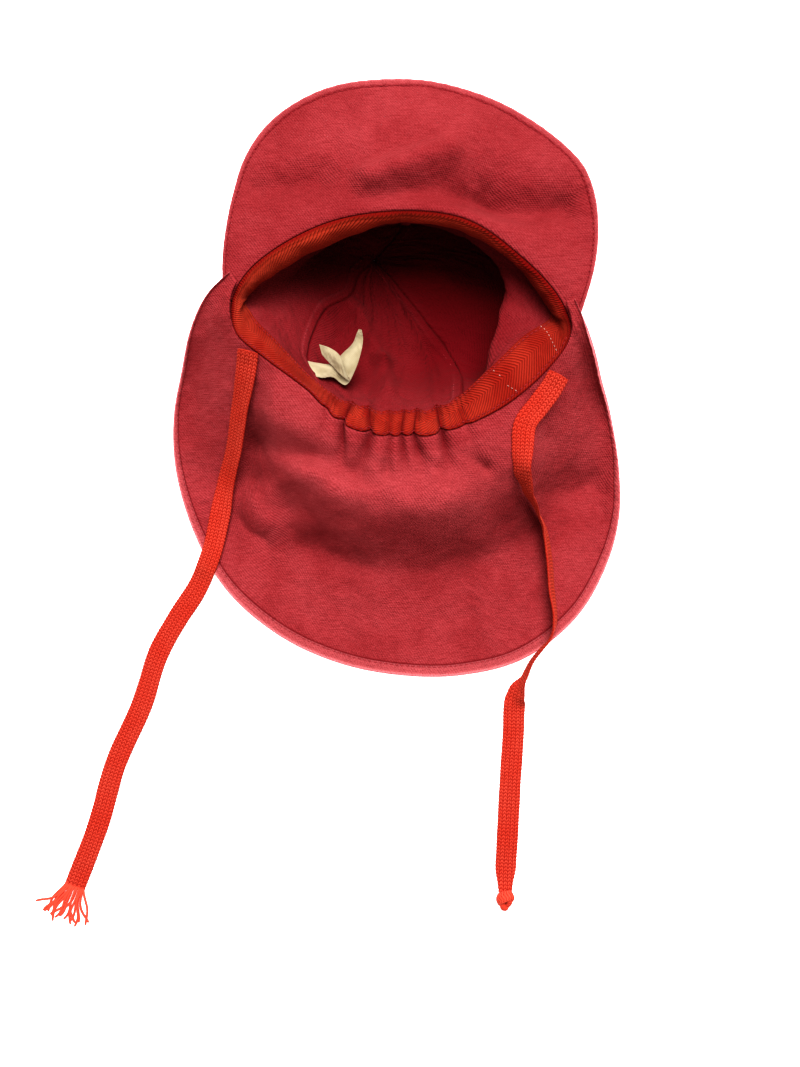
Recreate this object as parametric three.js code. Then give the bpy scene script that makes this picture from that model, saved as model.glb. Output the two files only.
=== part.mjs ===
// A child's peaked sun hat of cotton twill with a neck flap and two tie tapes.
// It lies upside down on its crown, its opening up and its flap spread on the surface.
// Millimetres, +Z up. The peak points to +Y, the neck flap to -Y.

import * as THREE from 'three';

// ---------------------------------------------------------------- driving sizes

const CLOTH = 1.2; // wall of the washed twill
const PEAK_THICKNESS = 2.6; // two layers of twill over an interlining
const TAPE_THICKNESS = 1.0; // the tape that covers the seam inside the opening
const HEM_WIDTH = 6.5;
const HEM_THICKNESS = 1.8;
const TAPE_WIDTH = 18;
const GAP = 0.3; // between neighbouring pieces
const TAPE_GAP = 0.45; // behind the tape, which follows the gathers
const SEAM_GAP = 0.55; // between two panels of the crown
const RIM_SETBACK = 0.75; // from the edge of the opening to the crown's and flap's own edges
const PEAK_SETBACK = 1.95; // from the edge of the opening to the peak's sewn edge

const TIE_WIDTH = 11.2;
const TIE_THICKNESS = 1.6;
const LABEL_THICKNESS = 1.0;

// Where the seams and ends lie round the opening, as a share of one turn that
// starts at the front centre and runs by the right side to the back.
// The crown's seams drift to the left by their own share below the tape.
const FRONT_SEAM = { at: 0, drift: 0 };
const RIGHT_SEAM = { at: 0.42, drift: 0.035 };
const LEFT_SEAM = { at: 0.6, drift: 0.085 };
const FRONT_SEAM_AGAIN = { at: 1, drift: 0 };
const PEAK_FROM = -0.197; // left end of the peak, before the front centre
const PEAK_TO = 0.226;
const FLAP_FROM = 0.2;
const FLAP_TO = 0.83;
const BACK_CENTRE = 0.51;

// The drift grows from the tape down to this depth, and part of it goes again near the top.
const SEAM_DRIFT = { fullAt: 0.4, easesFrom: 0.6, easesTo: 0.9, eased: 0.4 };

const RIM_COLUMNS = 76; // columns of cloth in a whole turn

// The middle of the hat's own box, without the ties, is moved to the origin.
const SHIFT_X = -1.3;
const SHIFT_Y = -1.7;

const COLOURS = {
  twill: 0xa8323c,
  tape: 0xb4261d,
  braid: 0xd2301f,
  label: 0xd8c8a4,
};

// ---------------------------------------------------------------- tables

// The edge of the opening, one row for each sixteenth of a turn.
const RIM = [
  { x: 0, y: 76.5, z: 60 },
  { x: 34, y: 72, z: 59.5 },
  { x: 61, y: 53.5, z: 58 },
  { x: 80, y: 33, z: 56 },
  { x: 86, y: 14, z: 54 },
  { x: 74, y: -4, z: 51 },
  { x: 52, y: -22, z: 47.5 },
  { x: 27, y: -33, z: 45 },
  { x: 0, y: -36, z: 43 },
  { x: -27, y: -31, z: 44.5 },
  { x: -48, y: -13, z: 47 },
  { x: -67, y: 1, z: 50 },
  { x: -83, y: 15, z: 53 },
  { x: -84, y: 34, z: 55.5 },
  { x: -69, y: 53, z: 57.5 },
  { x: -37, y: 70.5, z: 59 },
];

// The lower edge of the tape inside the opening, at the same sixteenths.
const TAPE_EDGE = [
  { x: 1, y: 80.5, z: 42.5 },
  { x: 32, y: 75, z: 42.5 },
  { x: 57.5, y: 61, z: 42 },
  { x: 74, y: 38.5, z: 39.5 },
  { x: 80, y: 22.5, z: 39.5 },
  { x: 64, y: 8, z: 45 },
  { x: 45, y: -8.5, z: 43 },
  { x: 25.5, y: -20, z: 36 },
  { x: 1, y: -22, z: 35.5 },
  { x: -25, y: -18, z: 34 },
  { x: -45, y: -5, z: 34 },
  { x: -63, y: 12.5, z: 42 },
  { x: -76, y: 26.5, z: 43.5 },
  { x: -80, y: 39.5, z: 39.5 },
  { x: -63.5, y: 53, z: 41 },
  { x: -33, y: 69.5, z: 42 },
];

// The first soft fold of the crown below the tape, which overhangs on the right.
const CROWN_FOLD = [
  { x: 0, y: 85, z: 27 },
  { x: 28, y: 80, z: 28 },
  { x: 50, y: 62, z: 31 },
  { x: 57, y: 42, z: 36 },
  { x: 51, y: 28, z: 38 },
  { x: 46, y: 12, z: 38 },
  { x: 41, y: -5, z: 36 },
  { x: 25, y: -12, z: 29 },
  { x: 0, y: -9, z: 21 },
  { x: -21, y: -8, z: 22 },
  { x: -39, y: 2, z: 24 },
  { x: -53, y: 17, z: 28 },
  { x: -62, y: 31, z: 29 },
  { x: -66, y: 46, z: 27 },
  { x: -54, y: 66, z: 27 },
  { x: -29, y: 80, z: 27 },
];

// Rings round the slouched crown below that fold: where each reaches to the
// front, right, back and left, and its height there.
const CROWN_RINGS = [
  { front: 102, right: 62, back: 10, left: -55, zFront: 13, zRight: 18, zBack: 5, zLeft: 14 },
  { front: 110, right: 57, back: 38, left: -48, zFront: 3, zRight: 3, zBack: 1.2, zLeft: 2.4 },
  { front: 98, right: 31, back: 58, left: -38, zFront: 0.6, zRight: 0.6, zBack: 0.6, zLeft: 0.6 },
];
const CROWN_TOP = { x: -14.7, y: 75, z: 0.6 };

// The outer edge of the peak, from its left end round to its right end.
const PEAK_EDGE = [
  { x: -87.5, y: 35, z: 52.5 },
  { x: -89, y: 50, z: 53 },
  { x: -88, y: 68, z: 52.5 },
  { x: -85.5, y: 86, z: 51 },
  { x: -80.5, y: 107, z: 49 },
  { x: -70.5, y: 126, z: 47 },
  { x: -55.5, y: 139.5, z: 46 },
  { x: -35, y: 149.5, z: 46 },
  { x: -8, y: 153.5, z: 46 },
  { x: 20, y: 151.5, z: 46 },
  { x: 49.5, y: 141, z: 46.5 },
  { x: 74.5, y: 125, z: 48 },
  { x: 91, y: 107.5, z: 49.5 },
  { x: 99, y: 90, z: 50.5 },
  { x: 100.5, y: 70, z: 51.5 },
  { x: 98, y: 50, z: 53 },
  { x: 90, y: 24, z: 52.5 },
];

// The hem of the neck flap, from its right end round the back to its left end.
const FLAP_HEM = [
  { x: 86, y: 30, z: 56.5 },
  { x: 92, y: 18, z: 53.5 },
  { x: 103, y: -2, z: 36 },
  { x: 112.5, y: -20, z: 19 },
  { x: 118.5, y: -46, z: 9 },
  { x: 119, y: -72, z: 4 },
  { x: 112, y: -98, z: 1 },
  { x: 95, y: -126, z: 0.9 },
  { x: 66, y: -148, z: 0.9 },
  { x: 33, y: -156.5, z: 0.9 },
  { x: 0, y: -156.5, z: 0.9 },
  { x: -33, y: -150, z: 0.9 },
  { x: -65, y: -135.5, z: 0.9 },
  { x: -94, y: -111, z: 0.9 },
  { x: -112, y: -80, z: 2 },
  { x: -121.5, y: -46, z: 8 },
  { x: -121, y: -18, z: 17 },
  { x: -113.5, y: 6, z: 29 },
  { x: -105, y: 24, z: 42 },
  { x: -96, y: 35, z: 51 },
  { x: -84, y: 43.5, z: 57 },
];

// Soft folds: each is a ridge, or where the height is below zero a valley,
// along a straight line in plan, half as high at the width to either side.
const PEAK_FOLDS = [
  { x1: -38, y1: 88, x2: 18, y2: 109, width: 6.5, height: 5.5 },
  { x1: 34, y1: 76, x2: 94, y2: 82, width: 8, height: -6.5 },
  { x1: -80, y1: 90, x2: -42, y2: 93, width: 7, height: -4.2 },
  { x1: 10, y1: 128, x2: 34, y2: 122, width: 10, height: 2.2 },
  { x1: -20, y1: 130, x2: -60, y2: 116, width: 9, height: -1.6 },
  { x1: 52, y1: 108, x2: 88, y2: 100, width: 9, height: 2 },
  { x1: -22, y1: 82, x2: 34, y2: 92, width: 8, height: -4 },
];
const FLAP_FOLDS = [
  { x1: -72, y1: -27, x2: -22, y2: -47, width: 7, height: -6 },
  { x1: -76, y1: -56, x2: -8, y2: -40, width: 6, height: 4 },
  { x1: -6, y1: -36, x2: -11, y2: -50, width: 4.5, height: 3 },
  { x1: 18, y1: -44, x2: 24, y2: -70, width: 8, height: 6 },
  { x1: -14, y1: -62, x2: 4, y2: -78, width: 6, height: -3 },
  { x1: 24, y1: -38, x2: 43, y2: -50, width: 3, height: -3 },
  { x1: 64, y1: -58, x2: 104, y2: -54, width: 8, height: -5 },
  { x1: -50, y1: -88, x2: -17, y2: -98, width: 5, height: -3 },
  { x1: -46, y1: -76, x2: -22, y2: -80, width: 4, height: 2 },
  { x1: 46, y1: -58, x2: 52, y2: -74, width: 7, height: -3 },
  { x1: 84, y1: -100, x2: 92, y2: -84, width: 9, height: -2 },
  { x1: -86, y1: -74, x2: -78, y2: -84, width: 6, height: -4 },
];
const PEAK_FOLDS_FREE = 0.25; // share of the peak over which its folds grow from the sewn edge
const FLAP_FOLDS_FREE = { from: 0.05, to: 0.3, hemFrom: 0.85 };

// The shares of its depth between which the flap falls to the surface. Behind the
// gathers it runs almost level and then drops from a brow; by the wearer's ears it
// falls from the opening on. Part of the fall behind is even, down to where the flap
// lies on the surface.
const FLAP_FALL = {
  behind: { from: 0.23, to: 0.55 },
  beside: { from: -0.45, to: 0.95 },
  even: 0.26,
  evenTo: 0.74,
  turnsFrom: 0.12,
  turnsTo: 0.21,
};

// On the right the crown's wall is pushed out into a pocket below the tape: how far,
// at which share of the depth, how wide, and over which stretch of a turn.
const POCKET = { out: 18, depth: 0.5, width: 0.09, from: [0.2, 0.3], to: [0.38, 0.44] };

// The flap's ends lie on the peak, over these stretches of a turn past the peak's own ends.
const FLAP_ON_PEAK = { rightFrom: 0.004, rightTo: 0.03, leftFrom: -0.048, leftTo: -0.018 };

// The elastic gathers in the back of the opening.
const GATHERS = {
  from: 0.405,
  to: 0.615,
  pleats: 7,
  height: 1.9, // from the middle of the cloth to a crest
  outward: 0.7, // share of that height that goes outward
  upward: 0.75, // share that goes up
  reach: 0.36, // share of the flap over which they die out
};
const COLUMNS_PER_PLEAT = 4;
const GATHER_SPACING = (GATHERS.to - GATHERS.from) / (GATHERS.pleats * COLUMNS_PER_PLEAT);

// Each tie's route along its middle, with its lean to the level in degrees.
const LEFT_TIE = [
  { x: -75.5, y: 6, z: 53.4, lean: 3 },
  { x: -78.2, y: -4.9, z: 46.5, lean: 14 },
  { x: -83.3, y: -19.9, z: 33.3, lean: 26 },
  { x: -88.1, y: -36.3, z: 19.9, lean: 27 },
  { x: -94.5, y: -53.6, z: 7.7, lean: 20 },
  { x: -98.4, y: -73, z: 4.1, lean: 2 },
  { x: -102.4, y: -92, z: 3.8, lean: 0 },
  { x: -110, y: -110, z: 2.2, lean: 0 },
  { x: -120, y: -126, z: 1.2, lean: 0 },
  { x: -130, y: -145, z: 1, lean: 0 },
  { x: -138, y: -172, z: 1, lean: 0 },
  { x: -151, y: -203, z: 1, lean: 0 },
  { x: -159, y: -234, z: 1, lean: 0 },
  { x: -170.5, y: -266.5, z: 1, lean: 0 },
];
const RIGHT_TIE = [
  { x: 79, y: -6, z: 52.9, lean: 0 },
  { x: 75, y: -13, z: 51.9, lean: 0 },
  { x: 69, y: -21, z: 50.3, lean: 0 },
  { x: 62.5, y: -30, z: 49.4, lean: 4 },
  { x: 61.1, y: -41.6, z: 48.4, lean: 20 },
  { x: 61.1, y: -53.1, z: 45.8, lean: 50 },
  { x: 65.2, y: -61.8, z: 34.8, lean: 86 },
  { x: 71.8, y: -69.8, z: 20.3, lean: 104 },
  { x: 77.6, y: -79.6, z: 10, lean: 112 },
  { x: 80.2, y: -94.9, z: 7.6, lean: 114 },
  { x: 81.1, y: -111, z: 7.1, lean: 114 },
  { x: 82.6, y: -126, z: 7.7, lean: 108 },
  { x: 80.1, y: -136.5, z: 8.2, lean: 98 },
  { x: 75, y: -142.5, z: 8.8, lean: 92 },
  { x: 70, y: -149, z: 8, lean: 90 },
  { x: 66, y: -157.5, z: 6.9, lean: 84 },
  { x: 62, y: -166, z: 4.2, lean: 40 },
  { x: 61, y: -174, z: 1.6, lean: 4 },
  { x: 60.5, y: -186, z: 1, lean: 0 },
  { x: 58.5, y: -211.5, z: 1, lean: 0 },
  { x: 56.5, y: -242, z: 1, lean: 0 },
  { x: 55.4, y: -257, z: 1.3, lean: 0 },
  { x: 54.8, y: -265.8, z: 3.6, lean: 0 },
];
const STEPS_PER_ROW = 2;
const KNOT_PINCH = { share: 0.62, rows: 1.2 }; // how far and over how many rows the knot draws the braid in

const KNOT = { x: 54.6, y: -271.4, z: 4.4, width: 10.5, length: 11.6, height: 8.4, lobes: 3 };

const FRINGE = {
  locks: 8,
  lengths: [1, 0.76, 1, 0.92, 0.84, 0.92], // of one lock after another, as shares of the longest
  headLength: 4,
  lockLength: 18,
  lockWidth: 1.7,
  slit: 0.3, // between two locks at their roots
  fan: 34,
  thickness: 1.4,
};

// The folded care label, its two long edges from the seam to its free end.
const LABEL = [
  { x1: -48, y1: 10, z1: 29.3, x2: -44.1, y2: -1.4, z2: 33 },
  { x1: -41.5, y1: 10, z1: 29.5, x2: -39, y2: -2, z2: 31 },
  { x1: -35, y1: 10.5, z1: 28.5, x2: -33, y2: -2.5, z2: 29 },
  { x1: -31.5, y1: 12.5, z1: 30, x2: -27.5, y2: -3.5, z2: 28.5 },
  { x1: -28.5, y1: 15.5, z1: 33, x2: -22.5, y2: 2, z2: 30 },
  { x1: -25.5, y1: 18.5, z1: 35, x2: -20, y2: 11.5, z2: 33 },
  { x1: -22.5, y1: 21.5, z1: 36, x2: -19.5, y2: 19, z2: 36 },
];

// ---------------------------------------------------------------- small functions

const clamp01 = (value) => Math.min(1, Math.max(0, value));
const mix = (a, b, share) => a + (b - a) * share;
const turn = (share) => ((share % 1) + 1) % 1;

function smoothstep(from, to, value) {
  const share = clamp01((value - from) / (to - from));
  return share * share * (3 - 2 * share);
}

function steps(from, to, count) {
  return Array.from({ length: count + 1 }, (_, index) => mix(from, to, index / count));
}

function curveThrough(rows, closed = false) {
  const points = rows.map((row) => new THREE.Vector3(row.x, row.y, row.z));
  return new THREE.CatmullRomCurve3(points, closed, closed ? 'catmullrom' : 'centripetal', 0.5);
}

// How far the folds in a table lift the cloth at a place in plan.
function foldRise(folds, x, y) {
  const place = new THREE.Vector3(x, y, 0);
  const nearest = new THREE.Vector3();
  let rise = 0;
  for (const fold of folds) {
    const from = new THREE.Vector3(fold.x1, fold.y1, 0);
    const to = new THREE.Vector3(fold.x2, fold.y2, 0);
    new THREE.Line3(from, to).closestPointToPoint(place, true, nearest);
    const share = nearest.distanceTo(place) / fold.width;
    rise += fold.height * Math.pow(2, -share * share);
  }
  return rise;
}

// ---------------------------------------------------------------- the opening and its gathers

const rimCurve = curveThrough(RIM, true);
const peakEdge = curveThrough(PEAK_EDGE);
const flapHem = curveThrough(FLAP_HEM);

function outwardAt(t) {
  const along = rimCurve.getTangent(turn(t));
  return new THREE.Vector3(-along.y, along.x, 0).normalize();
}

// One wave for each pleat, strongest in the middle of the gathered stretch.
function gatherWave(t) {
  const share = (turn(t) - GATHERS.from) / (GATHERS.to - GATHERS.from);
  if (share <= 0 || share >= 1) return new THREE.Vector3();
  const edge = smoothstep(0, 0.12, share) * smoothstep(0, 0.12, 1 - share);
  const height = GATHERS.height * edge * Math.cos(2 * Math.PI * GATHERS.pleats * share);
  const wave = outwardAt(t).multiplyScalar(height * GATHERS.outward);
  wave.z = height * GATHERS.upward;
  return wave;
}

// Columns round the opening, closer together where the cloth is gathered.
function columnsBetween(from, to) {
  const marks = [from, GATHERS.from, GATHERS.to, to].filter((mark) => mark >= from && mark <= to);
  const columns = [from];
  for (let index = 1; index < marks.length; index += 1) {
    const start = marks[index - 1];
    const end = marks[index];
    if (end - start < 1e-6) continue;
    const gathered = start >= GATHERS.from - 1e-6 && end <= GATHERS.to + 1e-6;
    const spacing = gathered ? GATHER_SPACING : 1 / RIM_COLUMNS;
    const count = Math.max(1, Math.round((end - start) / spacing));
    columns.push(...steps(start, end, count).slice(1));
  }
  return columns;
}

// ---------------------------------------------------------------- cloth as closed shells

// A closed shell about a grid of middle points. pointAt(column, row) gives the
// middle and halfAt(column, row) half the thickness. A ring closes on itself.
// Without normalAt(column, row) the grid's own normals are used.
function shell(columns, rows, pointAt, halfAt, { ring = false, normalAt = null } = {}) {
  const across = columns.length;
  const down = rows.length;
  const middle = columns.map((column) => rows.map((row) => pointAt(column, row)));
  const step = (index, by) => (ring ? (index + by + across) % across : Math.min(across - 1, Math.max(0, index + by)));
  const positions = [];
  for (let side = 0; side < 2; side += 1) {
    for (let i = 0; i < across; i += 1) {
      for (let j = 0; j < down; j += 1) {
        const alongColumns = middle[step(i, 1)][j].clone().sub(middle[step(i, -1)][j]);
        const alongRows = middle[i][Math.min(down - 1, j + 1)].clone().sub(middle[i][Math.max(0, j - 1)]);
        const gridNormal = alongColumns.cross(alongRows).normalize();
        const normal = normalAt ? normalAt(columns[i], rows[j]) : gridNormal;
        const half = halfAt(columns[i], rows[j]) * (side === 0 ? 1 : -1);
        positions.push(...middle[i][j].clone().addScaledVector(normal, half).toArray());
      }
    }
  }
  const at = (side, i, j) => side * across * down + (i % across) * down + j;
  const indices = [];
  const quad = (a, b, c, d) => indices.push(a, b, c, a, c, d);
  const cells = ring ? across : across - 1;
  for (let i = 0; i < cells; i += 1) {
    for (let j = 0; j < down - 1; j += 1) {
      quad(at(0, i, j), at(0, i + 1, j), at(0, i + 1, j + 1), at(0, i, j + 1));
      quad(at(1, i, j), at(1, i, j + 1), at(1, i + 1, j + 1), at(1, i + 1, j));
    }
    quad(at(0, i + 1, 0), at(0, i, 0), at(1, i, 0), at(1, i + 1, 0));
    quad(at(0, i, down - 1), at(0, i + 1, down - 1), at(1, i + 1, down - 1), at(1, i, down - 1));
  }
  if (!ring) {
    const last = across - 1;
    for (let j = 0; j < down - 1; j += 1) {
      quad(at(0, 0, j), at(0, 0, j + 1), at(1, 0, j + 1), at(1, 0, j));
      quad(at(0, last, j + 1), at(0, last, j), at(1, last, j), at(1, last, j + 1));
    }
  }
  return solidFrom(positions, indices);
}

// A geometry whose triangles face out, whichever way its grid ran.
function solidFrom(positions, indices) {
  const a = new THREE.Vector3();
  const b = new THREE.Vector3();
  const c = new THREE.Vector3();
  let volume = 0;
  for (let index = 0; index < indices.length; index += 3) {
    a.fromArray(positions, indices[index] * 3);
    b.fromArray(positions, indices[index + 1] * 3);
    c.fromArray(positions, indices[index + 2] * 3);
    volume += a.dot(b.cross(c));
  }
  if (volume < 0) indices.reverse();
  const geometry = new THREE.BufferGeometry();
  geometry.setAttribute('position', new THREE.Float32BufferAttribute(positions, 3));
  geometry.setIndex(indices);
  geometry.computeVertexNormals();
  return geometry;
}

function piece(name, geometry, colour, roughness = 0.9) {
  const material = new THREE.MeshStandardMaterial({ color: colour, roughness, metalness: 0 });
  const mesh = new THREE.Mesh(geometry, material);
  mesh.name = name;
  return mesh;
}

// ---------------------------------------------------------------- crown

const tapeEdge = curveThrough(TAPE_EDGE, true);
const crownFold = curveThrough(CROWN_FOLD, true);
const FOLD_BOX = new THREE.Box3().setFromPoints(tapeEdge.getPoints(160));
const FOLD_MIDDLE = FOLD_BOX.getCenter(new THREE.Vector3());
const FOLD_HALF = FOLD_BOX.getSize(new THREE.Vector3()).multiplyScalar(0.5);
const RINGS_DOWN = CROWN_RINGS.length + 3;
const TAPE_ROW = 1 / RINGS_DOWN; // the first ring lies along the edge of the tape
const TOP_ROW = 0.985; // the panels stop just short of the crown's top
const CROWN_STEPS = 9; // rows of cloth below the tape

// A ring has the outline of the tape's edge, stretched to the ring's own reach.
function ringPoint(ring, t) {
  const edge = tapeEdge.getPoint(turn(t));
  const u = (edge.x - FOLD_MIDDLE.x) / FOLD_HALF.x;
  const v = (edge.y - FOLD_MIDDLE.y) / FOLD_HALF.y;
  const zSide = u > 0 ? ring.zRight : ring.zLeft;
  const zEnd = v > 0 ? ring.zFront : ring.zBack;
  return new THREE.Vector3(
    mix(ring.left, ring.right, (u + 1) / 2),
    mix(ring.back, ring.front, (v + 1) / 2),
    (zSide * u * u + zEnd * v * v) / (u * u + v * v),
  );
}

// The crown's middle surface: t runs round it, s from the opening to the top.
function crownPoint(t, s) {
  const top = new THREE.Vector3(CROWN_TOP.x, CROWN_TOP.y, CROWN_TOP.z);
  const upper = [rimCurve, tapeEdge, crownFold].map((curve) => curve.getPoint(turn(t)));
  const lower = CROWN_RINGS.map((ring) => ringPoint(ring, t));
  const point = new THREE.CatmullRomCurve3([...upper, ...lower, top], false, 'catmullrom', 0.5).getPoint(s);
  point.addScaledVector(gatherWave(t), 1 - smoothstep(TAPE_ROW, 2.5 * TAPE_ROW, s));
  const pocketed = smoothstep(...POCKET.from, turn(t)) * (1 - smoothstep(...POCKET.to, turn(t)));
  const beyond = (s - POCKET.depth) / POCKET.width;
  point.addScaledVector(outwardAt(t), POCKET.out * pocketed * Math.pow(2, -beyond * beyond));
  point.z = Math.max(point.z, CLOTH / 2);
  return point;
}

// The direction into the hollow from the crown's cloth, taken over one cell of its grid.
function crownInward(t, s) {
  const gathered = turn(t) > GATHERS.from && turn(t) < GATHERS.to;
  const across = gathered ? GATHER_SPACING : 1 / RIM_COLUMNS;
  const below = s < TAPE_ROW ? TAPE_ROW / 2 : (TOP_ROW - TAPE_ROW) / CROWN_STEPS;
  const around = crownPoint(t + across, s).sub(crownPoint(t - across, s));
  const down = crownPoint(t, Math.min(1, s + below)).sub(crownPoint(t, Math.max(0, s - below)));
  return down.cross(around).normalize();
}

const EDGE_ROW = (RIM_SETBACK / TAPE_WIDTH) * TAPE_ROW;
const TAPE_ROWS = steps(EDGE_ROW, TAPE_ROW, 2);
const CROWN_ROWS = [...TAPE_ROWS, ...steps(TAPE_ROW, TOP_ROW, CROWN_STEPS).slice(1)];

// One of the crown's three panels, kept clear of the next one along each seam.
function crownPanel(name, from, to) {
  const columns = columnsBetween(from.at, to.at);
  const first = columns.at(0);
  const last = columns.at(-1);
  const turnAt = (t, s) => {
    const share = (t - first) / (last - first);
    const drift = mix(from.drift, to.drift, share) * smoothstep(TAPE_ROW, SEAM_DRIFT.fullAt, s);
    const eased = SEAM_DRIFT.eased * smoothstep(SEAM_DRIFT.easesFrom, SEAM_DRIFT.easesTo, s);
    const drifted = t + drift * (1 - eased);
    const inward = t === first ? 1 : t === last ? -1 : 0;
    if (inward === 0) return drifted;
    const oneTurn = crownPoint(drifted + 0.01, s).distanceTo(crownPoint(drifted, s)) * 100;
    return drifted + (inward * SEAM_GAP) / 2 / oneTurn;
  };
  const pointAt = (t, s) => crownPoint(turnAt(t, s), s);
  const normalAt = (t, s) => crownInward(turnAt(t, s), s);
  return piece(name, shell(columns, CROWN_ROWS, pointAt, () => CLOTH / 2, { normalAt }), COLOURS.twill);
}

// ---------------------------------------------------------------- tape round the opening

function headTape() {
  const standOff = CLOTH / 2 + TAPE_GAP + TAPE_THICKNESS / 2;
  const columns = columnsBetween(0, 1).slice(0, -1);
  const pointAt = (t, s) => crownPoint(t, s).addScaledVector(crownInward(t, s), standOff);
  const options = { ring: true, normalAt: crownInward };
  const geometry = shell(columns, TAPE_ROWS, pointAt, () => TAPE_THICKNESS / 2, options);
  return piece('head_tape', geometry, COLOURS.tape);
}

// ---------------------------------------------------------------- peak

const PEAK_STEPS = 8; // rows of cloth from the sewn edge to the outer edge

function peak() {
  const columns = columnsBetween(PEAK_FROM, PEAK_TO);
  const pointAt = (t, v) => {
    const inner = rimCurve.getPoint(turn(t)).addScaledVector(outwardAt(t), PEAK_SETBACK);
    const outer = peakEdge.getPointAt((t - PEAK_FROM) / (PEAK_TO - PEAK_FROM));
    const point = inner.lerp(outer, v);
    const free = smoothstep(0, PEAK_FOLDS_FREE, v); // the sewn edge keeps the rim's own height
    point.z += free * foldRise(PEAK_FOLDS, point.x, point.y);
    return point;
  };
  const geometry = shell(columns, steps(0, 1, PEAK_STEPS), pointAt, () => PEAK_THICKNESS / 2);
  return piece('peak', geometry, COLOURS.twill);
}

// ---------------------------------------------------------------- neck flap

const FLAP_OVER_PEAK = PEAK_THICKNESS / 2 + CLOTH / 2 + 5 * GAP;
const FLAP_STEPS = 14; // rows of cloth from the opening almost to the hem
const FLAP_BODY = 0.9; // share of the flap's depth that those rows span
const HEM_MOST = 0.08; // the hem takes no more than this share where the flap is short
const HEM_EDGE = 0.12; // share of the hem where it reaches its full thickness
const HEM_FROM = 0.85; // the flap is held up off the surface by half its thickness,
const HEM_TO = 0.95; // which grows to the hem's between these shares of its depth

// The share of its drop that the flap has fallen by.
function flapFall(t, v) {
  const beside = smoothstep(FLAP_FALL.turnsFrom, FLAP_FALL.turnsTo, Math.abs(t - BACK_CENTRE));
  const from = mix(FLAP_FALL.behind.from, FLAP_FALL.beside.from, beside);
  const to = mix(FLAP_FALL.behind.to, FLAP_FALL.beside.to, beside);
  const begun = smoothstep(from, to, 0);
  const eased = (smoothstep(from, to, v) - begun) / (1 - begun);
  return mix(eased, Math.min(v / FLAP_FALL.evenTo, 1), FLAP_FALL.even * (1 - beside));
}

// The flap's middle surface: t runs along the opening, v out from it to the hem.
function flapPoint(t, v) {
  const rim = rimCurve.getPoint(t).addScaledVector(outwardAt(t), RIM_SETBACK);
  const hem = flapHem.getPointAt((t - FLAP_FROM) / (FLAP_TO - FLAP_FROM));
  const point = rim.clone().lerp(hem, v);
  const thickness = mix(CLOTH, HEM_THICKNESS, smoothstep(HEM_FROM, HEM_TO, v));
  const fall = flapFall(t, v);
  point.z = mix(rim.z, hem.z, fall) - (fall * (HEM_THICKNESS - thickness)) / 2;
  const rightLift = 1 - smoothstep(PEAK_TO + FLAP_ON_PEAK.rightFrom, PEAK_TO + FLAP_ON_PEAK.rightTo, t);
  const leftEnd = PEAK_FROM + 1;
  const leftLift = smoothstep(leftEnd + FLAP_ON_PEAK.leftFrom, leftEnd + FLAP_ON_PEAK.leftTo, t);
  point.z += FLAP_OVER_PEAK * Math.max(rightLift, leftLift);
  const grown = smoothstep(FLAP_FOLDS_FREE.from, FLAP_FOLDS_FREE.to, v);
  const free = grown * (1 - smoothstep(FLAP_FOLDS_FREE.hemFrom, 1, v));
  point.z += free * foldRise(FLAP_FOLDS, point.x, point.y);
  point.addScaledVector(gatherWave(t), 1 - smoothstep(0, GATHERS.reach, v));
  point.z = Math.max(point.z, thickness / 2);
  return point;
}

function neckFlap() {
  const columns = columnsBetween(FLAP_FROM, FLAP_TO);
  const rows = [...steps(0, FLAP_BODY, FLAP_STEPS), 'hemInner', 'hemOuter', 1];
  const shareOf = (t, row) => {
    if (typeof row === 'number') return row;
    const length = flapPoint(t, 1).distanceTo(flapPoint(t, 0));
    const hem = Math.min(HEM_WIDTH / length, HEM_MOST);
    return 1 - hem + (row === 'hemOuter' ? hem * HEM_EDGE : 0);
  };
  const pointAt = (t, row) => flapPoint(t, shareOf(t, row));
  const halfAt = (t, row) => (row === 'hemOuter' || row === 1 ? HEM_THICKNESS / 2 : CLOTH / 2);
  return piece('neck_flap', shell(columns, rows, pointAt, halfAt), COLOURS.twill);
}

// ---------------------------------------------------------------- ties, knot, fringe and label

// The braid's section, as shares of half its width and half its thickness.
const BRAID_SECTION = [[1, 0.4], [0.9, 1], [-0.9, 1], [-1, 0.4], [-1, -0.4], [-0.9, -1], [0.9, -1], [1, -0.4]];

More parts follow.
